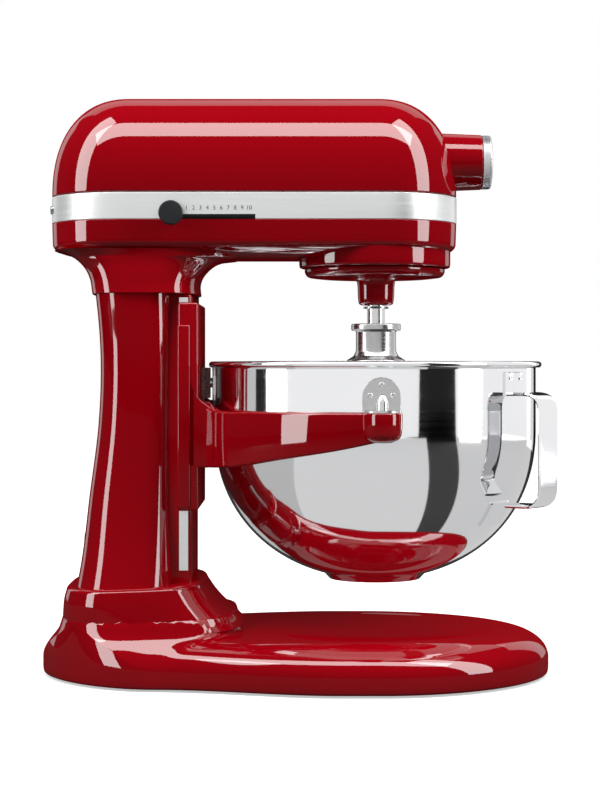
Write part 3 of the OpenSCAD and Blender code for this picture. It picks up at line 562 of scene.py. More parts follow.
def metal(name, light, dark, stretch, rough, depth=0.05):
    """A metal with straight tool marks: light and dark tones, the marks' stretch, and (low, high) roughness."""
    coat, tree, shader, place = start_finish(name, Metallic=1.0)
    marks = use_group(tree, grain, {"Vector": place}, Stretch=stretch, Low=rough[0], High=rough[1])
    mix = add(tree, "ShaderNodeMix", {"Factor": marks.outputs["Tone"]}, data_type="RGBA")
    mix.inputs[6].default_value = (*dark, 1)
    mix.inputs[7].default_value = (*light, 1)
    tree.links.new(mix.outputs[2], shader.inputs["Base Color"])
    tree.links.new(marks.outputs["Roughness"], shader.inputs["Roughness"])
    bump(tree, shader, marks.outputs["Height"], depth, 0.0003)
    return coat


brushed_steel = metal("brushed_steel", (0.68, 0.69, 0.69), (0.52, 0.53, 0.53), (12, 12, 1500), (0.30, 0.48), 0.10)
polished_steel = metal("polished_steel", (0.62, 0.62, 0.61), (0.50, 0.50, 0.50), (60, 60, 700), (0.14, 0.26), 0.04)
ferrule_steel = metal("ferrule_steel", (0.44, 0.44, 0.44), (0.34, 0.34, 0.34), (60, 60, 700), (0.18, 0.30), 0.04)
plate_steel = metal("plate_steel", (0.50, 0.50, 0.50), (0.40, 0.40, 0.41), (40, 40, 700), (0.24, 0.36), 0.06)
fastener_steel = metal("steel_fasteners", (0.70, 0.70, 0.70), (0.48, 0.48, 0.49), (500, 500, 500), (0.22, 0.38))
gear_steel = metal("gear_steel", (0.42, 0.42, 0.43), (0.24, 0.24, 0.25), (300, 300, 900), (0.28, 0.45))
cast_alloy = metal("cast_aluminium", (0.62, 0.62, 0.63), (0.48, 0.48, 0.49), (420, 420, 420), (0.42, 0.6), 0.2)
bronze = metal("bronze", (0.62, 0.42, 0.17), (0.42, 0.27, 0.09), (350, 350, 600), (0.25, 0.42))
laminated = metal("lamination_steel", (0.30, 0.28, 0.27), (0.12, 0.11, 0.10), (2600, 40, 40), (0.35, 0.6), 0.4)
copper = metal("copper", (0.62, 0.25, 0.10), (0.38, 0.13, 0.05), (60, 1500, 60), (0.25, 0.45), 0.4)
bearing_steel = metal("bearing_steel", (0.72, 0.72, 0.73), (0.6, 0.6, 0.61), (200, 900, 900), (0.12, 0.25))
cover_steel = metal("cover_steel", (0.56, 0.56, 0.57), (0.46, 0.46, 0.47), (500, 30, 30), (0.34, 0.46), 0.08)
print("metals done")


# %% [markdown]
# Plastics and rubber have a fine moulded texture instead of tool marks: small even noise that breaks up the gloss.

# %% Plastics and rubber


def moulded(name, first, second, rough, texture, depth):
    """A moulded finish: two near colours, (clean, smeared) roughness, and the texture's scale and depth."""
    coat, tree, shader, place = start_finish(name, IOR=1.48)
    tint = use_group(tree, drift, {"Vector": place}, First=(*first, 1), Second=(*second, 1), Scale=60.0)
    gloss = use_group(tree, handled, {"Vector": place}, Clean=rough[0], Smeared=rough[1], Scale=45.0, Dust=0.2)
    tree.links.new(tint.outputs["Colour"], shader.inputs["Base Color"])
    tree.links.new(gloss.outputs["Roughness"], shader.inputs["Roughness"])
    pores = add(tree, "ShaderNodeTexNoise", {"Vector": place}, Scale=texture, Detail=2.0)
    bump(tree, shader, pores.outputs["Fac"], depth, 0.0004)
    return coat


knob_plastic = moulded("dark_grey_plastic", (0.028, 0.030, 0.032), (0.040, 0.042, 0.044), (0.34, 0.5), 2600.0, 0.15)
black_plastic = moulded("black_plastic", (0.012, 0.012, 0.012), (0.02, 0.02, 0.021), (0.2, 0.34), 2200.0, 0.12)
black_rubber = moulded("black_rubber", (0.018, 0.018, 0.018), (0.03, 0.029, 0.028), (0.6, 0.8), 1500.0, 0.3)
board_green = moulded("board_green", (0.03, 0.13, 0.06), (0.05, 0.17, 0.08), (0.3, 0.5), 700.0, 0.2)
fan_plastic = moulded("fan_plastic", (0.55, 0.55, 0.5), (0.62, 0.62, 0.57), (0.4, 0.55), 1200.0, 0.15)
# Painted shade: a near-black sheet that stands for the shaded opening of the speed slot.
painted_slot_shade = moulded("painted_slot_shade", (0.003, 0.003, 0.003), (0.005, 0.005, 0.005), (0.5, 0.7), 1500.0, 0.1)
print("plastics done")

# %% [markdown]
# The counter is a matt white sheet. Its colour drifts a little so that it doesn't look computed.

# %% Counter
counter_paper, tree, shader, place = start_finish("counter_paper", Specular_IOR_Level=0.1)
tint = use_group(tree, drift, {"Vector": place}, First=(0.93, 0.93, 0.93, 1), Second=(0.90, 0.90, 0.90, 1), Scale=2.0)
tree.links.new(tint.outputs["Colour"], shader.inputs["Base Color"])
shader.inputs["Roughness"].default_value = 0.8
floor.data.materials.append(counter_paper)

# %% [markdown]
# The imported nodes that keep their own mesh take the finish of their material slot.

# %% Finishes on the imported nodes
SLOTS = {"red_enamel": red_enamel, "black_rubber": black_rubber, "steel_fasteners": fastener_steel,
         "brushed_steel": brushed_steel, "gear_steel": gear_steel, "cast_aluminium": cast_alloy, "bronze": bronze,
         "lamination_steel": laminated, "copper": copper, "bearing_steel": bearing_steel,
         "black_plastic": black_plastic, "board_green": board_green, "fan_plastic": fan_plastic,
         "dark_grey_plastic": knob_plastic, "polished_steel": polished_steel, "bowl_steel": bowl_steel}
for part in frame["record"]["subparts"]:
    thing = frame["nodes"][part["node"]]
    thing.data.materials.clear()
    thing.data.materials.append(SLOTS[part["material_slot"]])

# %% [markdown]
# ## Base
# The base is a flat casting with a teardrop plan, a big rolled shoulder and a shallow dish under the bowl. Rings
# shaped like the plan climb the side and the shoulder and then shrink to the middle of the deck, where the
# height comes from a sphere's cap. The collar that holds the column is a second shell, flared so that its foot
# lies along the deck.

# %% Base plan and deck
half_length = (cad_box[1][0] - cad_box[0][0]) / 2 / MM
FRONT_HALF, REAR_HALF, DECK_Z = 112.0, 87.0, 34.0
FOOT = 1.5


def ease(t):
    return t * t * (3 - 2 * t)


def base_half(x):
    """Half of the base's width: an ellipse-like nose in front of 60 mm, an easing flank, and a narrower tail."""
    nose = FRONT_HALF * np.clip(1 - np.clip((x - 60) / (half_length - 60), 0, 1) ** 1.9, 0, 1) ** (1 / 1.9)
    flank = REAR_HALF + (FRONT_HALF - REAR_HALF) * ease(np.clip((x + 99) / 130, 0, 1))
    tail = REAR_HALF * np.clip(1 - np.clip((-99 - x) / (half_length - 99), 0, 1) ** 1.75, 0, 1) ** (1 / 1.75)
    return np.where(x > 60, nose, np.where(x > -99, flank, tail))


def base_plan(count=240):
    a = np.linspace(0, 2 * math.pi, 4000, endpoint=False)
    x = half_length * np.cos(a)
    return even(np.column_stack([x, np.sign(np.sin(a)) * base_half(x)]), count, closed=True)


def deck_height(x, y):
    """The deck, lowered by a soft-edged dish of 7 mm around the bowl's axis."""
    far = np.hypot(x - 60, y) / 88
    return DECK_Z - 7 * np.clip(1 - far**2, 0, 1) ** 1.25


COLLAR_RING = (-166.8, -43.0, 71.0)
FLARE = [(-1, 47), (0, 46), (0.8, 42), (2.2, 38.2), (6.9, 31), (10, 26.8), (13.3, 21), (17, 12), (24, -8)]


def flare_height(x, y):
    """How high the foot of the collar stands: the distance outside the collar's ring, measured along a ray from
    its middle, read on a concave curve that falls from the collar to the rolled edge."""
    x0, x1, half = COLLAR_RING
    across, up = x - (x0 + x1) / 2, y
    level = ((abs(across) / ((x1 - x0) / 2)) ** 3.4 + (abs(up) / half) ** 3.4) ** (1 / 3.4)
    far = np.hypot(across, up) * (1 - 1 / np.maximum(level, 1e-3))
    return smooth_through(FLARE, np.clip(far, -1, 24))


def soft_max(a, b, width):
    """The larger of two heights, blended over width so that the two surfaces meet in a fillet."""
    share = np.clip(0.5 + 0.5 * (b - a) / width, 0, 1)
    return a * (1 - share) + b * share + width * share * (1 - share)


def base_shell():
    """Rings shaped like the plan: up the side, over a rolled shoulder, and in across the deck to one point."""
    plan = base_plan()
    rows = []
    for inset, z in round_corner([(5, FOOT), (0.6, FOOT + 0.2), (0, 6), (0, 13)], 2, 6):
        share = np.array([1 - inset / half_length, 1 - inset / FRONT_HALF])
        rows.append(np.column_stack([plan * share, np.full(len(plan), z)]))
    shoulder = quarter(32, DECK_Z - 13, 2.0, 26)
    for inset, z in np.column_stack([32 - shoulder[:, 0], 13 + shoulder[:, 1]])[1:]:
        flat = plan * np.array([1 - inset / half_length, 1 - inset / FRONT_HALF])
        rows.append(np.column_stack([flat, soft_max(np.full(len(flat), z), flare_height(*flat.T), 4)]))
    start = rows[-1][:, :2]
    centre = np.array([40.0, 0.0])
    for t in np.linspace(0, 1, 96)[1:-1]:
        flat = start + (centre - start) * t
        lip = np.clip(t / 0.06, 0, 1)
        z = DECK_Z * (1 - lip) + deck_height(*flat.T) * lip
        rows.append(np.column_stack([flat, soft_max(z, flare_height(*flat.T), 4)]))
    return closed_grid(np.stack(rows))


COLLAR_REAR = [(38, -167.2), (43, -166.9), (50, -166.6), (59, -165.6), (64, -164.2)]
COLLAR_FRONT = [(38, -38), (43, -43.2), (47, -48.5), (54.6, -57), (64, -64.6)]
COLLAR_HALF = [(38, 71.6), (43, 71.1), (50, 70.6), (57, 70), (64, 69)]


def lifted(ring, z):
    """A ring's heights: z, raised by up to 3.2 towards the front of the collar."""
    return z + 3.2 * np.clip((z - 40) / 24, 0, 1) * np.clip((ring[:, 0] + 170) / 100, 0, 1) ** 2


def collar_shell():
    """Rounded-box rings that climb out of the foot and close in, their fronts raised, then rolled inwards."""
    low = np.linspace(38, 64, 24)
    rear, front, half = (smooth_through(k, low) for k in (COLLAR_REAR, COLLAR_FRONT, COLLAR_HALF))
    rows = []
    for z, x0, x1, y1 in zip(low, rear, front, half):
        ring = rounded_ring(x0, x1, y1, 3.4, 200)
        rows.append(np.column_stack([ring, lifted(ring, z)]))
    for k in np.linspace(0, 1, 9)[1:]:
        inset = 4.5 * (1 - math.cos(k * math.pi / 2))
        ring = rounded_ring(rear[-1] + inset, front[-1] - inset, half[-1] - inset, 3.4, 200)
        rows.append(np.column_stack([ring, lifted(ring, 64 + 3.2 * math.sin(k * math.pi / 2))]))
    return closed_grid(np.stack(rows))


make_piece("base", [base_shell(), collar_shell()], red_enamel, "body", ["base_casting"], 60)

# %% [markdown]
# ## Column
# The column is a tall rounded box that leans back a little at its foot. Its outline follows a few measured
# heights, joined by a smooth curve so that the strip of light down its side runs without a kink. A narrower nose
# in front carries the slide.

# %% Column
COLUMN_REAR = [(60, -158), (82, -154), (130, -148.2), (184, -141.6), (209, -140.3), (240, -140.6), (258, -141.9),
               (275, -143.7)]
COLUMN_HALF = [(60, 66), (100, 57.5), (150, 52), (220, 51.5), (275, 55.5)]
SHOULDER_X = -84


def column_shell():
    z = np.linspace(61, 274.4, 70)
    rear, half = smooth_through(COLUMN_REAR, z), smooth_through(COLUMN_HALF, z)
    rings = [rounded_ring(r, SHOULDER_X, h, 3.4, 160) for r, h in zip(rear, half)]
    return closed_grid(stack(rings, z))


nose = slab((-95, -73.3), (-43, 43), (62, 274.4), 2.5)
make_piece("column", [column_shell(), closed_grid(nose)], red_enamel, "body", ["column_casting"], 50)

# %% [markdown]
# ## Head
# Seen from above the head is a stadium: two half circles joined by straight sides. Every one of its shells is
# one profile carried round that outline, so the profile decides how the light rolls over it. The dome uses a
# superellipse, which is a little squarer than an ellipse, as a pressed casting is.

# %% Stadium helper
HEAD_R, HEAD_REAR, HEAD_FRONT = 56.5, -120.4, 60.4
BAND_Z, BAND_TOP, HEAD_TOP, HEAD_LOW = 326.0, 345.0, 417.0, 300.0


def around_head(profile, ends=72, straight=40):
    """A profile of (distance from the spine, height) rows carried round the head's outline."""
    front = np.linspace(-math.pi / 2, math.pi / 2, ends)
    rear = front + math.pi
    along = np.linspace(0, 1, straight + 2)[1:-1]
    x = np.concatenate([np.full(ends, HEAD_FRONT), HEAD_FRONT + (HEAD_REAR - HEAD_FRONT) * along,
                        np.full(ends, HEAD_REAR), HEAD_REAR + (HEAD_FRONT - HEAD_REAR) * along])
    nx = np.concatenate([np.cos(front), np.zeros(straight), np.cos(rear), np.zeros(straight)])
    ny = np.concatenate([np.sin(front), np.ones(straight), np.sin(rear), -np.ones(straight)])
    r, z = profile[:, :1], profile[:, 1:]
    return np.stack([x + r * nx, r * ny, np.broadcast_to(z, (len(r), len(x)))], axis=2)


def head_shell(profile):
    """A profile carried round the head. One that starts and ends at the spine closes there; any other one has
    its last row joined to its first."""
    points = around_head(profile if profile[0, 0] < 0.1 else np.concatenate([profile, profile[:1]]))
    return closed_grid(points, cap_first=False, cap_last=False)


# %% Upper head with the hub boss
dome = quarter(HEAD_R, HEAD_TOP - BAND_TOP, 2.3, 64) + [0, BAND_TOP]
rim = round_corner([(HEAD_R - 1.6, 336), (HEAD_R - 1.6, BAND_TOP + 0.2), (HEAD_R - 0.6, BAND_TOP + 0.3),
                    (HEAD_R, BAND_TOP + 1.2)], 0.5, 5)
upper = np.concatenate([[[0.01, 336]], rim, dome[1:-1], [[0.01, HEAD_TOP]]])
DRIVE_Z = 371.4
boss_far = 134.9
flare = np.column_stack([np.linspace(22.0, 19.9, 20), np.linspace(84, boss_far - 1, 20)])
boss_line = np.concatenate([[[0.01, 84]], flare, round_corner([(19.9, boss_far - 1), (19.8, boss_far),
                                                                (18.4, boss_far)], 0.8, 5)[1:], [[0.01, boss_far]]])
make_piece("upper_head", [head_shell(upper), closed_grid(turned_x(boss_line, DRIVE_Z), cap_first=False,
                                                         cap_last=False)],
           red_enamel, "body", ["upper_head_housing"], 40)

# %% Lower head with the neck
roll = quarter(HEAD_R - 0.4, 12, 2.6, 40)[::-1]
roll = np.column_stack([roll[:, 0], HEAD_LOW + 12 - roll[:, 1]])
lower = np.concatenate([[[0.01, HEAD_LOW]], roll[1:], [[HEAD_R, BAND_Z - 1]],
                        round_corner([(HEAD_R, BAND_Z - 1), (HEAD_R, BAND_Z - 0.2),
                                      (HEAD_R - 1.6, BAND_Z)], 0.7, 5)[1:],
                        [[HEAD_R - 1.6, 335.4], [0.01, 335.4]]])
NECK_REAR = [(274.5, -146.2), (277, -146.6), (285, -148), (290, -150), (294, -152.5), (298, -156.3), (301.5, -161),
             (304.5, -168), (306, -174)]
NECK_FRONT = [(274.5, -69.2), (283, -69.5), (286, -68.6), (289, -67), (292, -64.5), (295.5, -60.5), (298, -56),
              (299.6, -50), (300.6, -40)]
NECK_HALF = [(274.5, 57.8), (280, 56.6), (288, 55.2), (296, 53.6), (300, 53.2), (306, 53.4)]


def neck_shell():
    """Rounded-box rings that flare into the head at the top and roll to a lip at the bottom."""
    z = np.concatenate([np.linspace(274.6, 282, 8), np.linspace(283, 306, 34)])
    rear = smooth_through(NECK_REAR, z)
    front = smooth_through(NECK_FRONT, np.minimum(z, 300.6))
    rings = [rounded_ring(r, f, h, 3.2, 180) for r, f, h in zip(rear, front, smooth_through(NECK_HALF, z))]
    lip_rings = [rounded_ring(rear[0] + d, front[0] - d, NECK_HALF[0][1] - d, 3.2, 180) for d in (1.4, 0.5)]
    return closed_grid(stack(lip_rings + rings, [274.0 + 0.1, 274.3] + list(z)))


make_piece("lower_head", [head_shell(lower), neck_shell()], red_enamel, "body", ["lower_head_housing"],
           50)

# %% [markdown]
# The trim band is a thin brushed strip round the joint of the two housings. The grain runs along the strip, so
# its noise is stretched level. Its edges are rolled, and catch a bright line.

# %% Trim band and the speed slot
band = round_corner([(HEAD_R - 1.5, BAND_Z + 0.1), (HEAD_R + 0.2, BAND_Z + 0.1), (HEAD_R + 0.2, BAND_TOP - 0.1),
                     (HEAD_R - 1.5, BAND_TOP - 0.1)], 0.6, 6)
make_piece("band", [head_shell(band)], brushed_steel, "body", ["trim_band"], 40)
knob_x, slot_end = -86.6, -28.0
# The speed slot is a near-black sheet on the band's face: painted shade for the slot's opening.
make_piece("speed_slot", [closed_grid(slab((knob_x - 3.5, slot_end), (-56.78, -55.5), (326.0, 329.4), 0.05))],
           painted_slot_shade, "body", ())


# %% [markdown]
# The scale is ten plain numbers in a grotesque letter, printed in dark grey. Each is a text curve turned into a
# mesh once it is in place, so that it exports like any other piece.

# %% Speed numbers
def number_plate(value, x, z, tall):
    """A printed number, flat on the band's face and standing upright, in metres."""
    curve = bpy.data.curves.new(f"number_{value}", "FONT")
    curve.body = str(value)
    curve.size = tall * MM * 1.42
    curve.align_x = "CENTER"
    curve.align_y = "CENTER"
    text = bpy.data.objects.new(f"number_{value}", curve)
    bpy.context.scene.collection.objects.link(text)
    mesh = bpy.data.meshes.new_from_object(text)
    bpy.data.objects.remove(text)
    flat = np.empty(len(mesh.vertices) * 3)
    mesh.vertices.foreach_get("co", flat)
    flat = flat.reshape(-1, 3)
    placed = np.column_stack([flat[:, 0] + x * MM, np.full(len(flat), -(HEAD_R + 0.27) * MM), flat[:, 1] + z * MM])
    mesh.vertices.foreach_set("co", placed.ravel())
    mesh.update()
    mesh.materials.clear()
    mesh.materials.append(slot_print)
    piece = bpy.data.objects.new(f"speed_number_{value}", mesh)
    bpy.context.scene.collection.objects.link(piece)
    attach(piece, "body")


slot_print = moulded("printed_grey", (0.02, 0.02, 0.02), (0.03, 0.03, 0.03), (0.5, 0.6), 1500.0, 0.05)
for step in range(10):
    number_plate(step + 1, -76.1 + 4.86 * step, 333.7, 2.9)
print("numbers 1 to 10 on the band")

# %% [markdown]
# ## Controls on the head
# The speed knob is a flat-faced disc with a rolled rim, and the hub flap is a pressed cap with a soft edge.

# %% Speed knob
knob_line = np.concatenate([[[0.01, -68.5]], round_corner([(6.6, -68.5), (8.3, -68.3), (8.55, -67.2), (8.5, -60),
                                                           (7.6, -58.2), (5.5, -58)], 1.0, 7), [[0.01, -58]]])
make_piece("knob", [closed_grid(turned_y(knob_line, knob_x, 329.7), cap_first=False, cap_last=False),
                    closed_grid(slab((knob_x - 2.5, knob_x + 2.5), (-58.5, -49), (326.8, 328.7), 0.2))],
           knob_plastic, "speed_slider", ["speed_knob"])

# %% Hub flap
flap_line = np.concatenate([[[0.01, 135.2]], round_corner([(18.6, 135.2), (19.6, 135.4), (19.5, 140.6), (18.9, 141.8),
                                                           (17.0, 142.2)], 0.9, 6), [[0.01, 142.6]]])
make_piece("hub_flap", [closed_grid(turned_x(flap_line, DRIVE_Z), cap_first=False, cap_last=False)],
           cover_steel, "hub_flap", ["hub_cover"])

# %% [markdown]
# ## Gearcase and planetary
# Both are turned shapes, so each is a profile and an axis. The gearcase drum hangs from the head with a shadow
# groove over it; the planetary dish turns under it, and its boss carries the whisk's shaft off centre. The boss
# flows into the dish through a fillet, which is part of the boss's own profile.

# %% Gearcase drum
MIX_X, OFFSET = 57.6, 24.0
drum = np.concatenate([[[0.01, 294.1]], round_corner([(52, 294.1), (54.6, 294.3), (55, 297), (55, 307.5),
                                                      (54.2, 310.3), (50, 310.7)], 2.2, 8), [[0.01, 310.7]]])
make_piece("gearcase_drum", [closed_grid(turned(drum, (MIX_X, 0), 200), cap_first=False, cap_last=False)],
           red_enamel, "body", ["gearcase"], 40)

# %% Planetary dish and boss
dish = np.concatenate([[[0.01, 286.6]], round_corner([(40, 286.6), (49, 287.6), (51, 291), (51, 293.5),
                                                      (49, 293.6)], 3.5, 10), [[0.01, 293.6]]])
boss = np.concatenate([[[6.5, 266.8]], round_corner([(6.5, 266.6), (12.3, 266.6), (13.0, 272), (13.25, 281),
                                                     (14.2, 285.6), (22, 286.9)], 2.6, 10),
                       [[22, 287.4], [6.5, 287.4], [6.5, 266.8]]])
make_piece("planetary", [closed_grid(turned(dish, (MIX_X, 0), 200), cap_first=False, cap_last=False),
                         closed_grid(turned(boss, (MIX_X, -OFFSET), 120), cap_first=False, cap_last=False)],
           red_enamel, "planetary", ["planetary_housing"], 40)

# %% [markdown]
# ## Whisk
# The whisk's hub is turned from bar: a flange, a body, a flare and a collar. Eleven wires leave the collar, swell
# to a pear shape and cross at the bottom, each loop a little higher than the last so that none of them meet.

# %% Whisk hub
hub_line = round_corner([(6.37, 219.0), (19.6, 219.0), (20.95, 219.8), (20.95, 226.8), (20.4, 227.6), (16.2, 230.2),
                         (14.5, 233.5), (14.35, 236), (14.35, 248.0), (16.9, 248.3), (17.7, 248.9), (17.7, 252.7),
                         (17.1, 253.3), (6.37, 253.3)], 0.7, 6)
hub_line = np.concatenate([hub_line, hub_line[:1]])
make_piece("whisk_ferrule", [closed_grid(turned(hub_line, (MIX_X, -OFFSET), 120), cap_first=False, cap_last=False)],
           ferrule_steel, "whisk", ["whisk_hub"], 30)


# %% Whisk wires
def wire_tube(line, radius, count=10):
    """A round wire along a flat loop: each ring stands square to the line, in the loop's plane and across it."""
    along = np.gradient(line, axis=0)
    along /= np.linalg.norm(along, axis=1)[:, None]
    across = np.array([0.0, 1.0, 0.0])
    beside = np.cross(along, across)
    a = np.linspace(0, 2 * math.pi, count, endpoint=False)[None, :, None]
    return line[:, None] + radius * (np.cos(a) * beside[:, None] + np.sin(a) * across)


def turned_about(points, angle, centre):
    """Points turned about an upright axis and moved to centre."""
    c, s = math.cos(angle), math.sin(angle)
    x, y = points[..., 0], points[..., 1]
    return np.stack([centre[0] + c * x - s * y, centre[1] + s * x + c * y, points[..., 2]], axis=-1)


LOOPS, WHISK_LOW = 11, 88.0
shells = []
for k in range(LOOPS):
    low = WHISK_LOW + 2.2 * k
    a = np.linspace(0, math.pi, 90)
    swell = 16.5 * np.cos(a) + 34 * np.sin(a) * np.cos(a) * (1.35 - 0.35 * np.sin(a))
    line = np.column_stack([swell, np.zeros(90), 220 - (219 - low) * np.sin(a) ** 0.8])
    tube = turned_about(wire_tube(even(line, 90), 0.9), math.pi * k / LOOPS, (MIX_X, -OFFSET))
    shells.append(closed_grid(tube))
make_piece("whisk_loops", shells, polished_steel, "whisk", ["whisk_wires"], 60)

# %% [markdown]
# ## Bowl
# The bowl is one sheet of steel: a flat floor, a domed wall that turns upright, and a rim rolled outwards over a
# wire. A mirror shows every facet, so the wall is a formula sampled finely. The outer and the inner wall are the
# same curve a sheet's thickness apart.

# %% Bowl shell
BOWL_R, BOWL_LOW, BOWL_TURN, RIM_Z, SHEET = 116.5, 69.0, 177.0, 226.5, 1.0


def bowl_curve(inset, count=90):
    """From the floor's edge up to the straight wall: a superellipse with power 2.15, moved in by inset."""
    drop = BOWL_TURN - BOWL_LOW - inset
    a = np.linspace(math.radians(73), 0, 600)
    line = np.column_stack([(BOWL_R - inset) * np.cos(a) ** (2 / 2.15), BOWL_TURN - drop * np.sin(a) ** (2 / 2.15)])
    return even(line, count)


def bowl_shell():
    outer, inner = bowl_curve(0), bowl_curve(SHEET)
    a = np.linspace(-0.75 * math.pi, 0.95 * math.pi, 26)
    roll_r = 2.2
    rolled = np.column_stack([BOWL_R + 1.95 + roll_r * np.cos(a), RIM_Z - 2.25 + roll_r * np.sin(a)])
    up = np.column_stack([np.full(30, BOWL_R), np.linspace(BOWL_TURN + 1, RIM_Z - 4.2, 30)])
    down = np.column_stack([np.full(30, BOWL_R - SHEET), np.linspace(RIM_Z - 2.5, BOWL_TURN + 1, 30)])
    profile = np.concatenate([[[0.01, BOWL_LOW]], [[33, BOWL_LOW]], outer, up, rolled, down, inner[::-1],
                              [[33, BOWL_LOW + SHEET]], [[0.01, BOWL_LOW + SHEET]]])
    return closed_grid(turned(profile, (MIX_X, 0), 256), cap_first=False, cap_last=False)


make_piece("bowl", [bowl_shell()], bowl_steel, "bowl", ["bowl_shell"], 50)

# %% [markdown]
# The brackets and the handle are bent strip, spot-welded to the wall. A strip that lies on the wall is bent with
# it: its points are laid out flat, as a distance round the bowl and a height, and then wrapped on.


# %% Strips wrapped on the bowl
def wrapped(outline, thick, angle, base=0.0):
    """A flat outline (round, height) wrapped on the wall at an angle, thick deep, its outer edge softened."""
    middle = outline.mean(axis=0)
    soft = min(0.5, thick / 3)
    inward = outline - (outline - middle) / np.linalg.norm(outline - middle, axis=1)[:, None] * soft
    layers = [(outline, base), (outline, base + thick - soft), (inward, base + thick)]
    rings = []
    for flat, depth in layers:
        turn = angle + flat[:, 0] / BOWL_R
        r = BOWL_R + depth
        rings.append(np.column_stack([MIX_X + r * np.cos(turn), r * np.sin(turn), flat[:, 1]]))
    return closed_grid(np.stack(rings))


def arched(half, low, high, count=20):
    """A strip's outline with a round arch on top."""
    a = np.linspace(0, math.pi, count)
    top = np.column_stack([half * np.cos(a), high - half + half * np.sin(a)])
    left = np.column_stack([np.full(6, -half), np.linspace(high - half, low, 8)[1:-1]])
    foot = np.column_stack([np.linspace(-half, half, 10), np.full(10, low)])
    right = np.column_stack([np.full(6, half), np.linspace(low, high - half, 8)[1:-1]])
    return np.concatenate([top, left, foot, right])


def weld_dot(angle, round_at, z, radius=1.7, base=1.6):
    """A spot weld: a low round crater ring on a strip, as a turned profile laid square to the wall."""
    line = np.array([[0.005, 0.05], [0.55, 0.06], [0.8, 0.3], [1.0, 0.0], [0.005, -0.1]]) * [radius, 1.0]
    a = np.linspace(0, 2 * math.pi, 20, endpoint=False)
    flat = np.stack([line[:, :1] * np.cos(a), line[:, :1] * np.sin(a), np.broadcast_to(line[:, 1:], (5, 20))], axis=2)
    turn = angle + (round_at + flat[..., 0]) / BOWL_R
    r = BOWL_R + base + flat[..., 2]
    points = np.stack([MIX_X + r * np.cos(turn), r * np.sin(turn), z + flat[..., 1]], axis=2)
    return closed_grid(points, cap_first=False, cap_last=False)


# %% Side brackets, tabs and the rear stud
shells = []
for side in (-1, 1):
    angle = side * math.pi / 2
    shells.append(wrapped(arched(12.75, 193.0, 215.6), 1.6, angle))
    for round_at, z in ((0, 210.6), (-7.5, 203.5), (7.5, 203.5)):
        shells.append(weld_dot(angle, round_at, z))
    a = np.linspace(0, math.pi, 24)
    tab = np.concatenate([np.column_stack([12.6 * np.cos(a), 130 + 12.6 * np.sin(a)]),
                          [[-12.6, BOWL_R - 0.5], [12.6, BOWL_R - 0.5]]])
    hole = np.linspace(0, 2 * math.pi, 26, endpoint=False) + 0.1
    rim_in = np.column_stack([4.45 * np.cos(hole), 130 + 4.45 * np.sin(hole)])
    order = np.argsort(np.arctan2(tab[:, 1] - 130, tab[:, 0]))
    outer = tab[order]
    levels = []
    for ring, z in ((rim_in, 192.1), (outer, 192.1), (outer, 193.6), (rim_in, 193.6)):
        at = ring[np.argsort(np.arctan2(ring[:, 1] - 130, ring[:, 0]))]
        levels.append(np.column_stack([MIX_X + at[:, 0], side * at[:, 1], np.full(len(at), z)]))
    levels.append(levels[0])
    shells.append(closed_grid(np.stack(levels), cap_first=False, cap_last=False))
rear_plate = np.array([(-12, 195), (12, 195), (12, 222), (9, 223.5), (-9, 223.5), (-12, 222)], float)
shells.append(wrapped(even(rear_plate, 40, closed=True), 1.8, math.pi))
stud = np.concatenate([[[0.01, -(BOWL_R + 7.4)]], round_corner([(4.6, -(BOWL_R + 7.4)), (4.9, -(BOWL_R + 7.1)),
                                                                (4.9, -(BOWL_R + 6.2)), (3.5, -(BOWL_R + 6))], 0.3, 4),
                       [[3.5, -(BOWL_R + 1)], [0.01, -(BOWL_R + 1)]]])
stud_points = turned_x(stud, 211.0, 40)
stud_points[..., 0] += MIX_X
shells.append(closed_grid(stud_points, cap_first=False, cap_last=False))
make_piece("bowl_brackets", shells, plate_steel, "bowl", ["bowl_fittings"], 40)

# %% [markdown]
# The handle is one strap, bent out from the bowl, straight down and back in. It is a flat oval section carried
# along the bent line, so both of its edges are soft.

# %% Bowl handle
HANDLE_TURN = math.radians(-36.5)
REACH, HANDLE_LOW, HANDLE_TOP, STRAP_HALF = 144.5, 125.2, 205.3, 12.5


def strap_section(half, thick, count=32):
    """A flat bar's outline with rolled edges: a superellipse with power 5, half wide and thick deep."""
    a = np.linspace(0, 2 * math.pi, 800, endpoint=False)
    c, s = np.cos(a), np.sin(a)
    line = np.column_stack([half * np.sign(c) * abs(c) ** 0.4, thick / 2 * np.sign(s) * abs(s) ** 0.4])
    return even(line, count, closed=True)


def handle_shell():
    """The strap's middle line lies in an upright plane; each section stands square to it."""
    mid = 1.5
    near, far = BOWL_R - 0.4, REACH - mid
    high, low = HANDLE_TOP - mid, HANDLE_LOW + mid
    path = round_corner([(near, high), (far, high), (far, low), (near, low)], 13, 16)
    path = even(path, 120)
    along = np.gradient(path, axis=0)
    along /= np.linalg.norm(along, axis=1)[:, None]
    normal = np.column_stack([along[:, 1], -along[:, 0]])
    sec = strap_section(STRAP_HALF, 2.8)
    r = path[:, None, 0] + normal[:, None, 0] * sec[None, :, 1]
    z = path[:, None, 1] + normal[:, None, 1] * sec[None, :, 1]
    across = np.broadcast_to(sec[None, :, 0], r.shape)
    c, s = math.cos(HANDLE_TURN), math.sin(HANDLE_TURN)
    return closed_grid(np.stack([MIX_X + r * c - across * s, r * s + across * c, z], axis=2))


def plate(low, high):
    corners = np.array([(-12.4, low), (12.4, low), (12.4, high), (-12.4, high)], float)
    return even(corners, 48, closed=True)


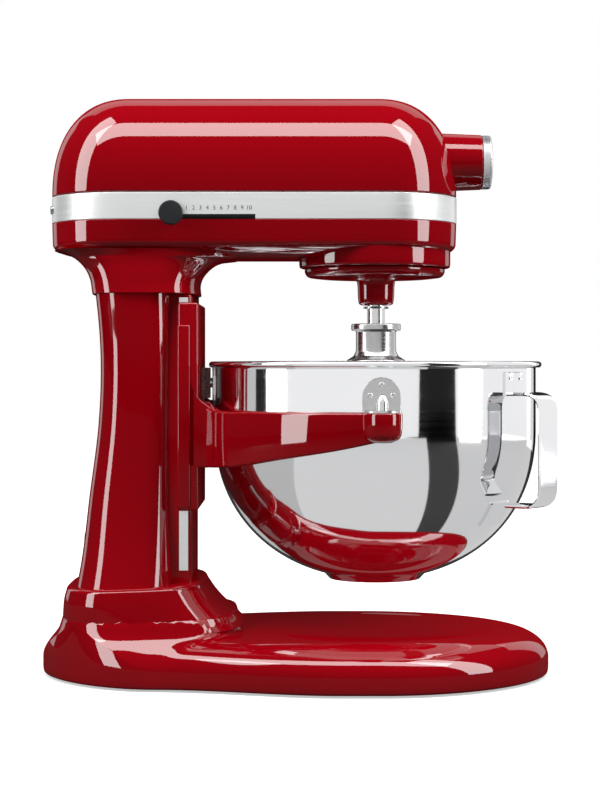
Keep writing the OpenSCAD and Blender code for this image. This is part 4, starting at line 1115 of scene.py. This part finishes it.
shells = [handle_shell(), wrapped(plate(HANDLE_TOP - 3, 219), 1.6, HANDLE_TURN)]
foot = plate(112, HANDLE_LOW + 3)
down_the_bowl = (BOWL_TURN - foot[:, 1]) / (BOWL_TURN - BOWL_LOW)
bowl_r_at = BOWL_R * (1 - down_the_bowl**2.15) ** (1 / 2.15)
levels = []
for depth in (-0.4, 1.2, 1.6):
    turn = HANDLE_TURN + foot[:, 0] / bowl_r_at
    r = bowl_r_at + depth
    levels.append(np.column_stack([MIX_X + r * np.cos(turn), r * np.sin(turn), foot[:, 1]]))
shells.append(closed_grid(np.stack(levels)))
for round_at in (-6.5, 6.5):
    shells.append(weld_dot(HANDLE_TURN, round_at, 214.5))
make_piece("handle", shells, bowl_steel, "bowl", ["bowl_handle"], 40)

# %% [markdown]
# ## Bowl lift
# The carriage that carries the bowl is a casting: a plate that slides on the column, flanges and ribs at its
# sides, and two arms that sweep round the bowl. Each arm is a ring's wall, 122 to 130.5 from the bowl's axis, and
# its height is read from a curve above and a curve below, so the arm swells toward the column and ends in a cup.


# %% Arm curves and arms
ARM_HIGH = [(-90, 240), (-78, 236), (-75.5, 226), (-73.8, 214.5), (-70.8, 205.5), (-63.6, 197), (-56.4, 192.6),
            (-48, 191.8), (-30, 191.8), (60, 191.8)]
ARM_LOW = [(-85, 151.6), (-60, 151.8), (-45, 153.3), (-10, 160), (30, 167), (57.6, 173)]


def bar_section(half_a, half_b, soft):
    """A bar's outline with round edges: four quarter circles of radius soft."""
    corner = np.linspace(0, math.pi / 2, 6)
    parts = []
    for k, (sa, sb) in enumerate([(1, 1), (-1, 1), (-1, -1), (1, -1)]):
        angle = corner + k * math.pi / 2
        parts.append(np.column_stack([sa * (half_a - soft) + soft * np.cos(angle),
                                      sb * (half_b - soft) + soft * np.sin(angle)]))
    return np.concatenate(parts)


def gusset(side):
    """The web that carries the arm out of the flange: upright bar sections between the two arm curves."""
    rings = []
    for x in np.linspace(-78, -56.5, 40):
        low, high = (float(smooth_through(k, np.array(x))) for k in (ARM_LOW, ARM_HIGH))
        section = bar_section(2.45, (high - low) / 2, 1.6)
        rings.append(np.column_stack([np.full(len(section), x), side * 47.85 + section[:, 0],
                                      (low + high) / 2 + section[:, 1]]))
    return closed_grid(np.stack(rings))


def arm_shell(side):
    """Rounded sections carried round the bowl from the column to the cup."""
    turns = np.radians(np.linspace(91, 166, 90))
    rings = []
    for turn in turns:
        x_mid = MIX_X + 126.2 * math.cos(turn)
        low, high = (float(smooth_through(k, np.array(x_mid))) for k in (ARM_LOW, ARM_HIGH))
        sec = bar_section(4.25, (high - low) / 2, 1.6)
        r = 126.25 + sec[:, 0]
        rings.append(np.column_stack([MIX_X + r * math.cos(turn), side * r * math.sin(turn),
                                      (low + high) / 2 + sec[:, 1]]))
    return closed_grid(np.stack(rings))


# %% Plate, flanges, cups and ribs
CUP = np.concatenate([[[0.01, 172.3]], round_corner([(6, 172.3), (12.4, 175), (13.35, 183), (13.35, 191.3),
                                                     (12.9, 191.8)], 5, 10), [[0.01, 191.8]]])
shells = [closed_grid(slab((-72.3, -68.3), (-50.2, 50.2), (121.2, 268), 1.9))]
for side in (-1, 1):
    shells.append(arm_shell(side))
    shells.append(gusset(side))
    cup = turned(CUP, (MIX_X, side * 130), 80)
    shells.append(closed_grid(cup, cap_first=False, cap_last=False))
    flange = sorted((side * 45.4, side * 50.3))
    shells.append(closed_grid(slab((-82.9, -69.5), flange, (121.2, 268), 2.0)))
    rib = sorted((side * 48, side * 51.75))
    shells.append(closed_grid(slab((-83, -74.0), rib, (123.2, 252), 1.3)))
make_piece("carriage_casting", shells, red_enamel, "carriage", ["bowl_yoke"], 40)

# %% Locating pins
pin_line = round_corner([(4.1, 191.9), (4.1, 198.3), (3.7, 200.2), (1.9, 203.6), (1.0, 204.3), (0.01, 204.3)], 1.2, 8)
pin_line = np.concatenate([[[0.01, 191.9]], pin_line])
make_piece("bowl_pins", [closed_grid(turned(pin_line, (MIX_X, s * 130), 48), cap_first=False, cap_last=False)
                         for s in (-1, 1)], polished_steel, "carriage", ["locating_pins"], 30)

# %% [markdown]
# ## Controls on the far side and small hardware
# The lift handle is a forged lever with a round grip; the thumb screw on the attachment hub is a fluted knob; the
# feet are plain rubber pads.


# %% Lift handle
def lever_shell():
    """The arm: an upright stadium, wider at the pivot, 8 thick with rolled edges."""
    x0, z0, low_r, top_r, far = -105.0, 171.0, 10.6, 7.0, 80.0
    a = np.linspace(0, 2 * math.pi, 96, endpoint=False)
    upper = np.sin(a) > 0
    r = np.where(upper, top_r, low_r)
    ring = np.column_stack([x0 + r * np.cos(a), z0 + np.where(upper, far, 0) + r * np.sin(a)])
    ring = even(ring, 120, closed=True)
    middle = np.array([x0, z0 + far / 2])
    rings = []
    for inset, y in [(1.4, 58.0), (0.5, 58.3), (0, 59.3), (0, 64.7), (0.5, 65.7), (1.4, 66.0)]:
        scale = 1 - inset / np.linalg.norm(ring - middle, axis=1)[:, None]
        flat = middle + (ring - middle) * scale
        rings.append(np.column_stack([flat[:, 0], np.full(len(flat), y), flat[:, 1]]))
    return closed_grid(np.stack(rings))


grip_line = round_corner([(10.2, 57.6), (10.9, 60), (10.9, 77), (9.6, 79.7), (6, 80)], 2.2, 8)
grip = np.concatenate([[[0.01, 57.6]], grip_line, [[0.01, 80]]])
boss_end = np.concatenate([[[0.01, 57.6]], round_corner([(10.9, 57.6), (10.9, 67.5), (8, 67.9)], 1.4, 8),
                           [[0.01, 67.9]]])
make_piece("lift_handle_arm", [lever_shell(),
                               closed_grid(turned_y(grip, -105, 251, 72), cap_first=False, cap_last=False),
                               closed_grid(turned_y(boss_end, -105, 171, 72), cap_first=False, cap_last=False)],
           knob_plastic, "lift_handle", ["lift_lever"], 40)

# %% Hub thumb screw
flute_a = np.linspace(0, 2 * math.pi, 200, endpoint=False)
flute_r = 9.55 + 0.42 * np.cos(10 * flute_a)
rows = [(0.02, 22.5), (0.8, 22.5), (0.96, 22.9), (1.0, 23.8), (1.0, 34.4), (0.96, 35.4), (0.8, 36.0), (0.02, 36.0)]
knob = np.stack([np.column_stack([120 + flute_r * k * np.cos(flute_a), np.full(200, y),
                                  DRIVE_Z + flute_r * k * np.sin(flute_a)]) for k, y in rows])
shank = turned_y(np.array([[0.01, 13.5], [3.4, 13.5], [3.4, 22.6], [0.01, 22.6]]), 120, DRIVE_Z, 40)
make_piece("hub_thumb_screw", [closed_grid(knob), closed_grid(shank, cap_first=False, cap_last=False)],
           knob_plastic, "hub_screw", ["hub_knob"], 40)

# %% Feet
foot = np.concatenate([[[0.01, 0.0]], round_corner([(9.4, 0), (10.9, 0.9), (10.9, 5.9)], 1.2, 6), [[0.01, 5.9]]])
make_piece("feet", [closed_grid(turned(foot, (x, s * y), 48), cap_first=False, cap_last=False)
                    for x, y in ((-135, 51), (120, 60)) for s in (-1, 1)],
           black_rubber, "body", ["rubber_feet"], 30)

# %% Steel lamps reach the steel
bright_steels = (bowl_steel, polished_steel, brushed_steel, cover_steel, ferrule_steel, plate_steel)
for piece in bpy.data.objects:
    coats = list(piece.data.materials) if piece.type == "MESH" else []
    if any(coat in bright_steels for coat in coats):
        steel_only.objects.link(piece)
    elif red_enamel in coats and not piece.name.startswith("carriage"):
        shade_makers.objects.link(piece)
    if piece.name in ("base", "column", "carriage_casting"):
        stand_side.objects.link(piece)
    elif coats:
        head_side.objects.link(piece)
overhead.light_linking.blocker_collection = shade_makers
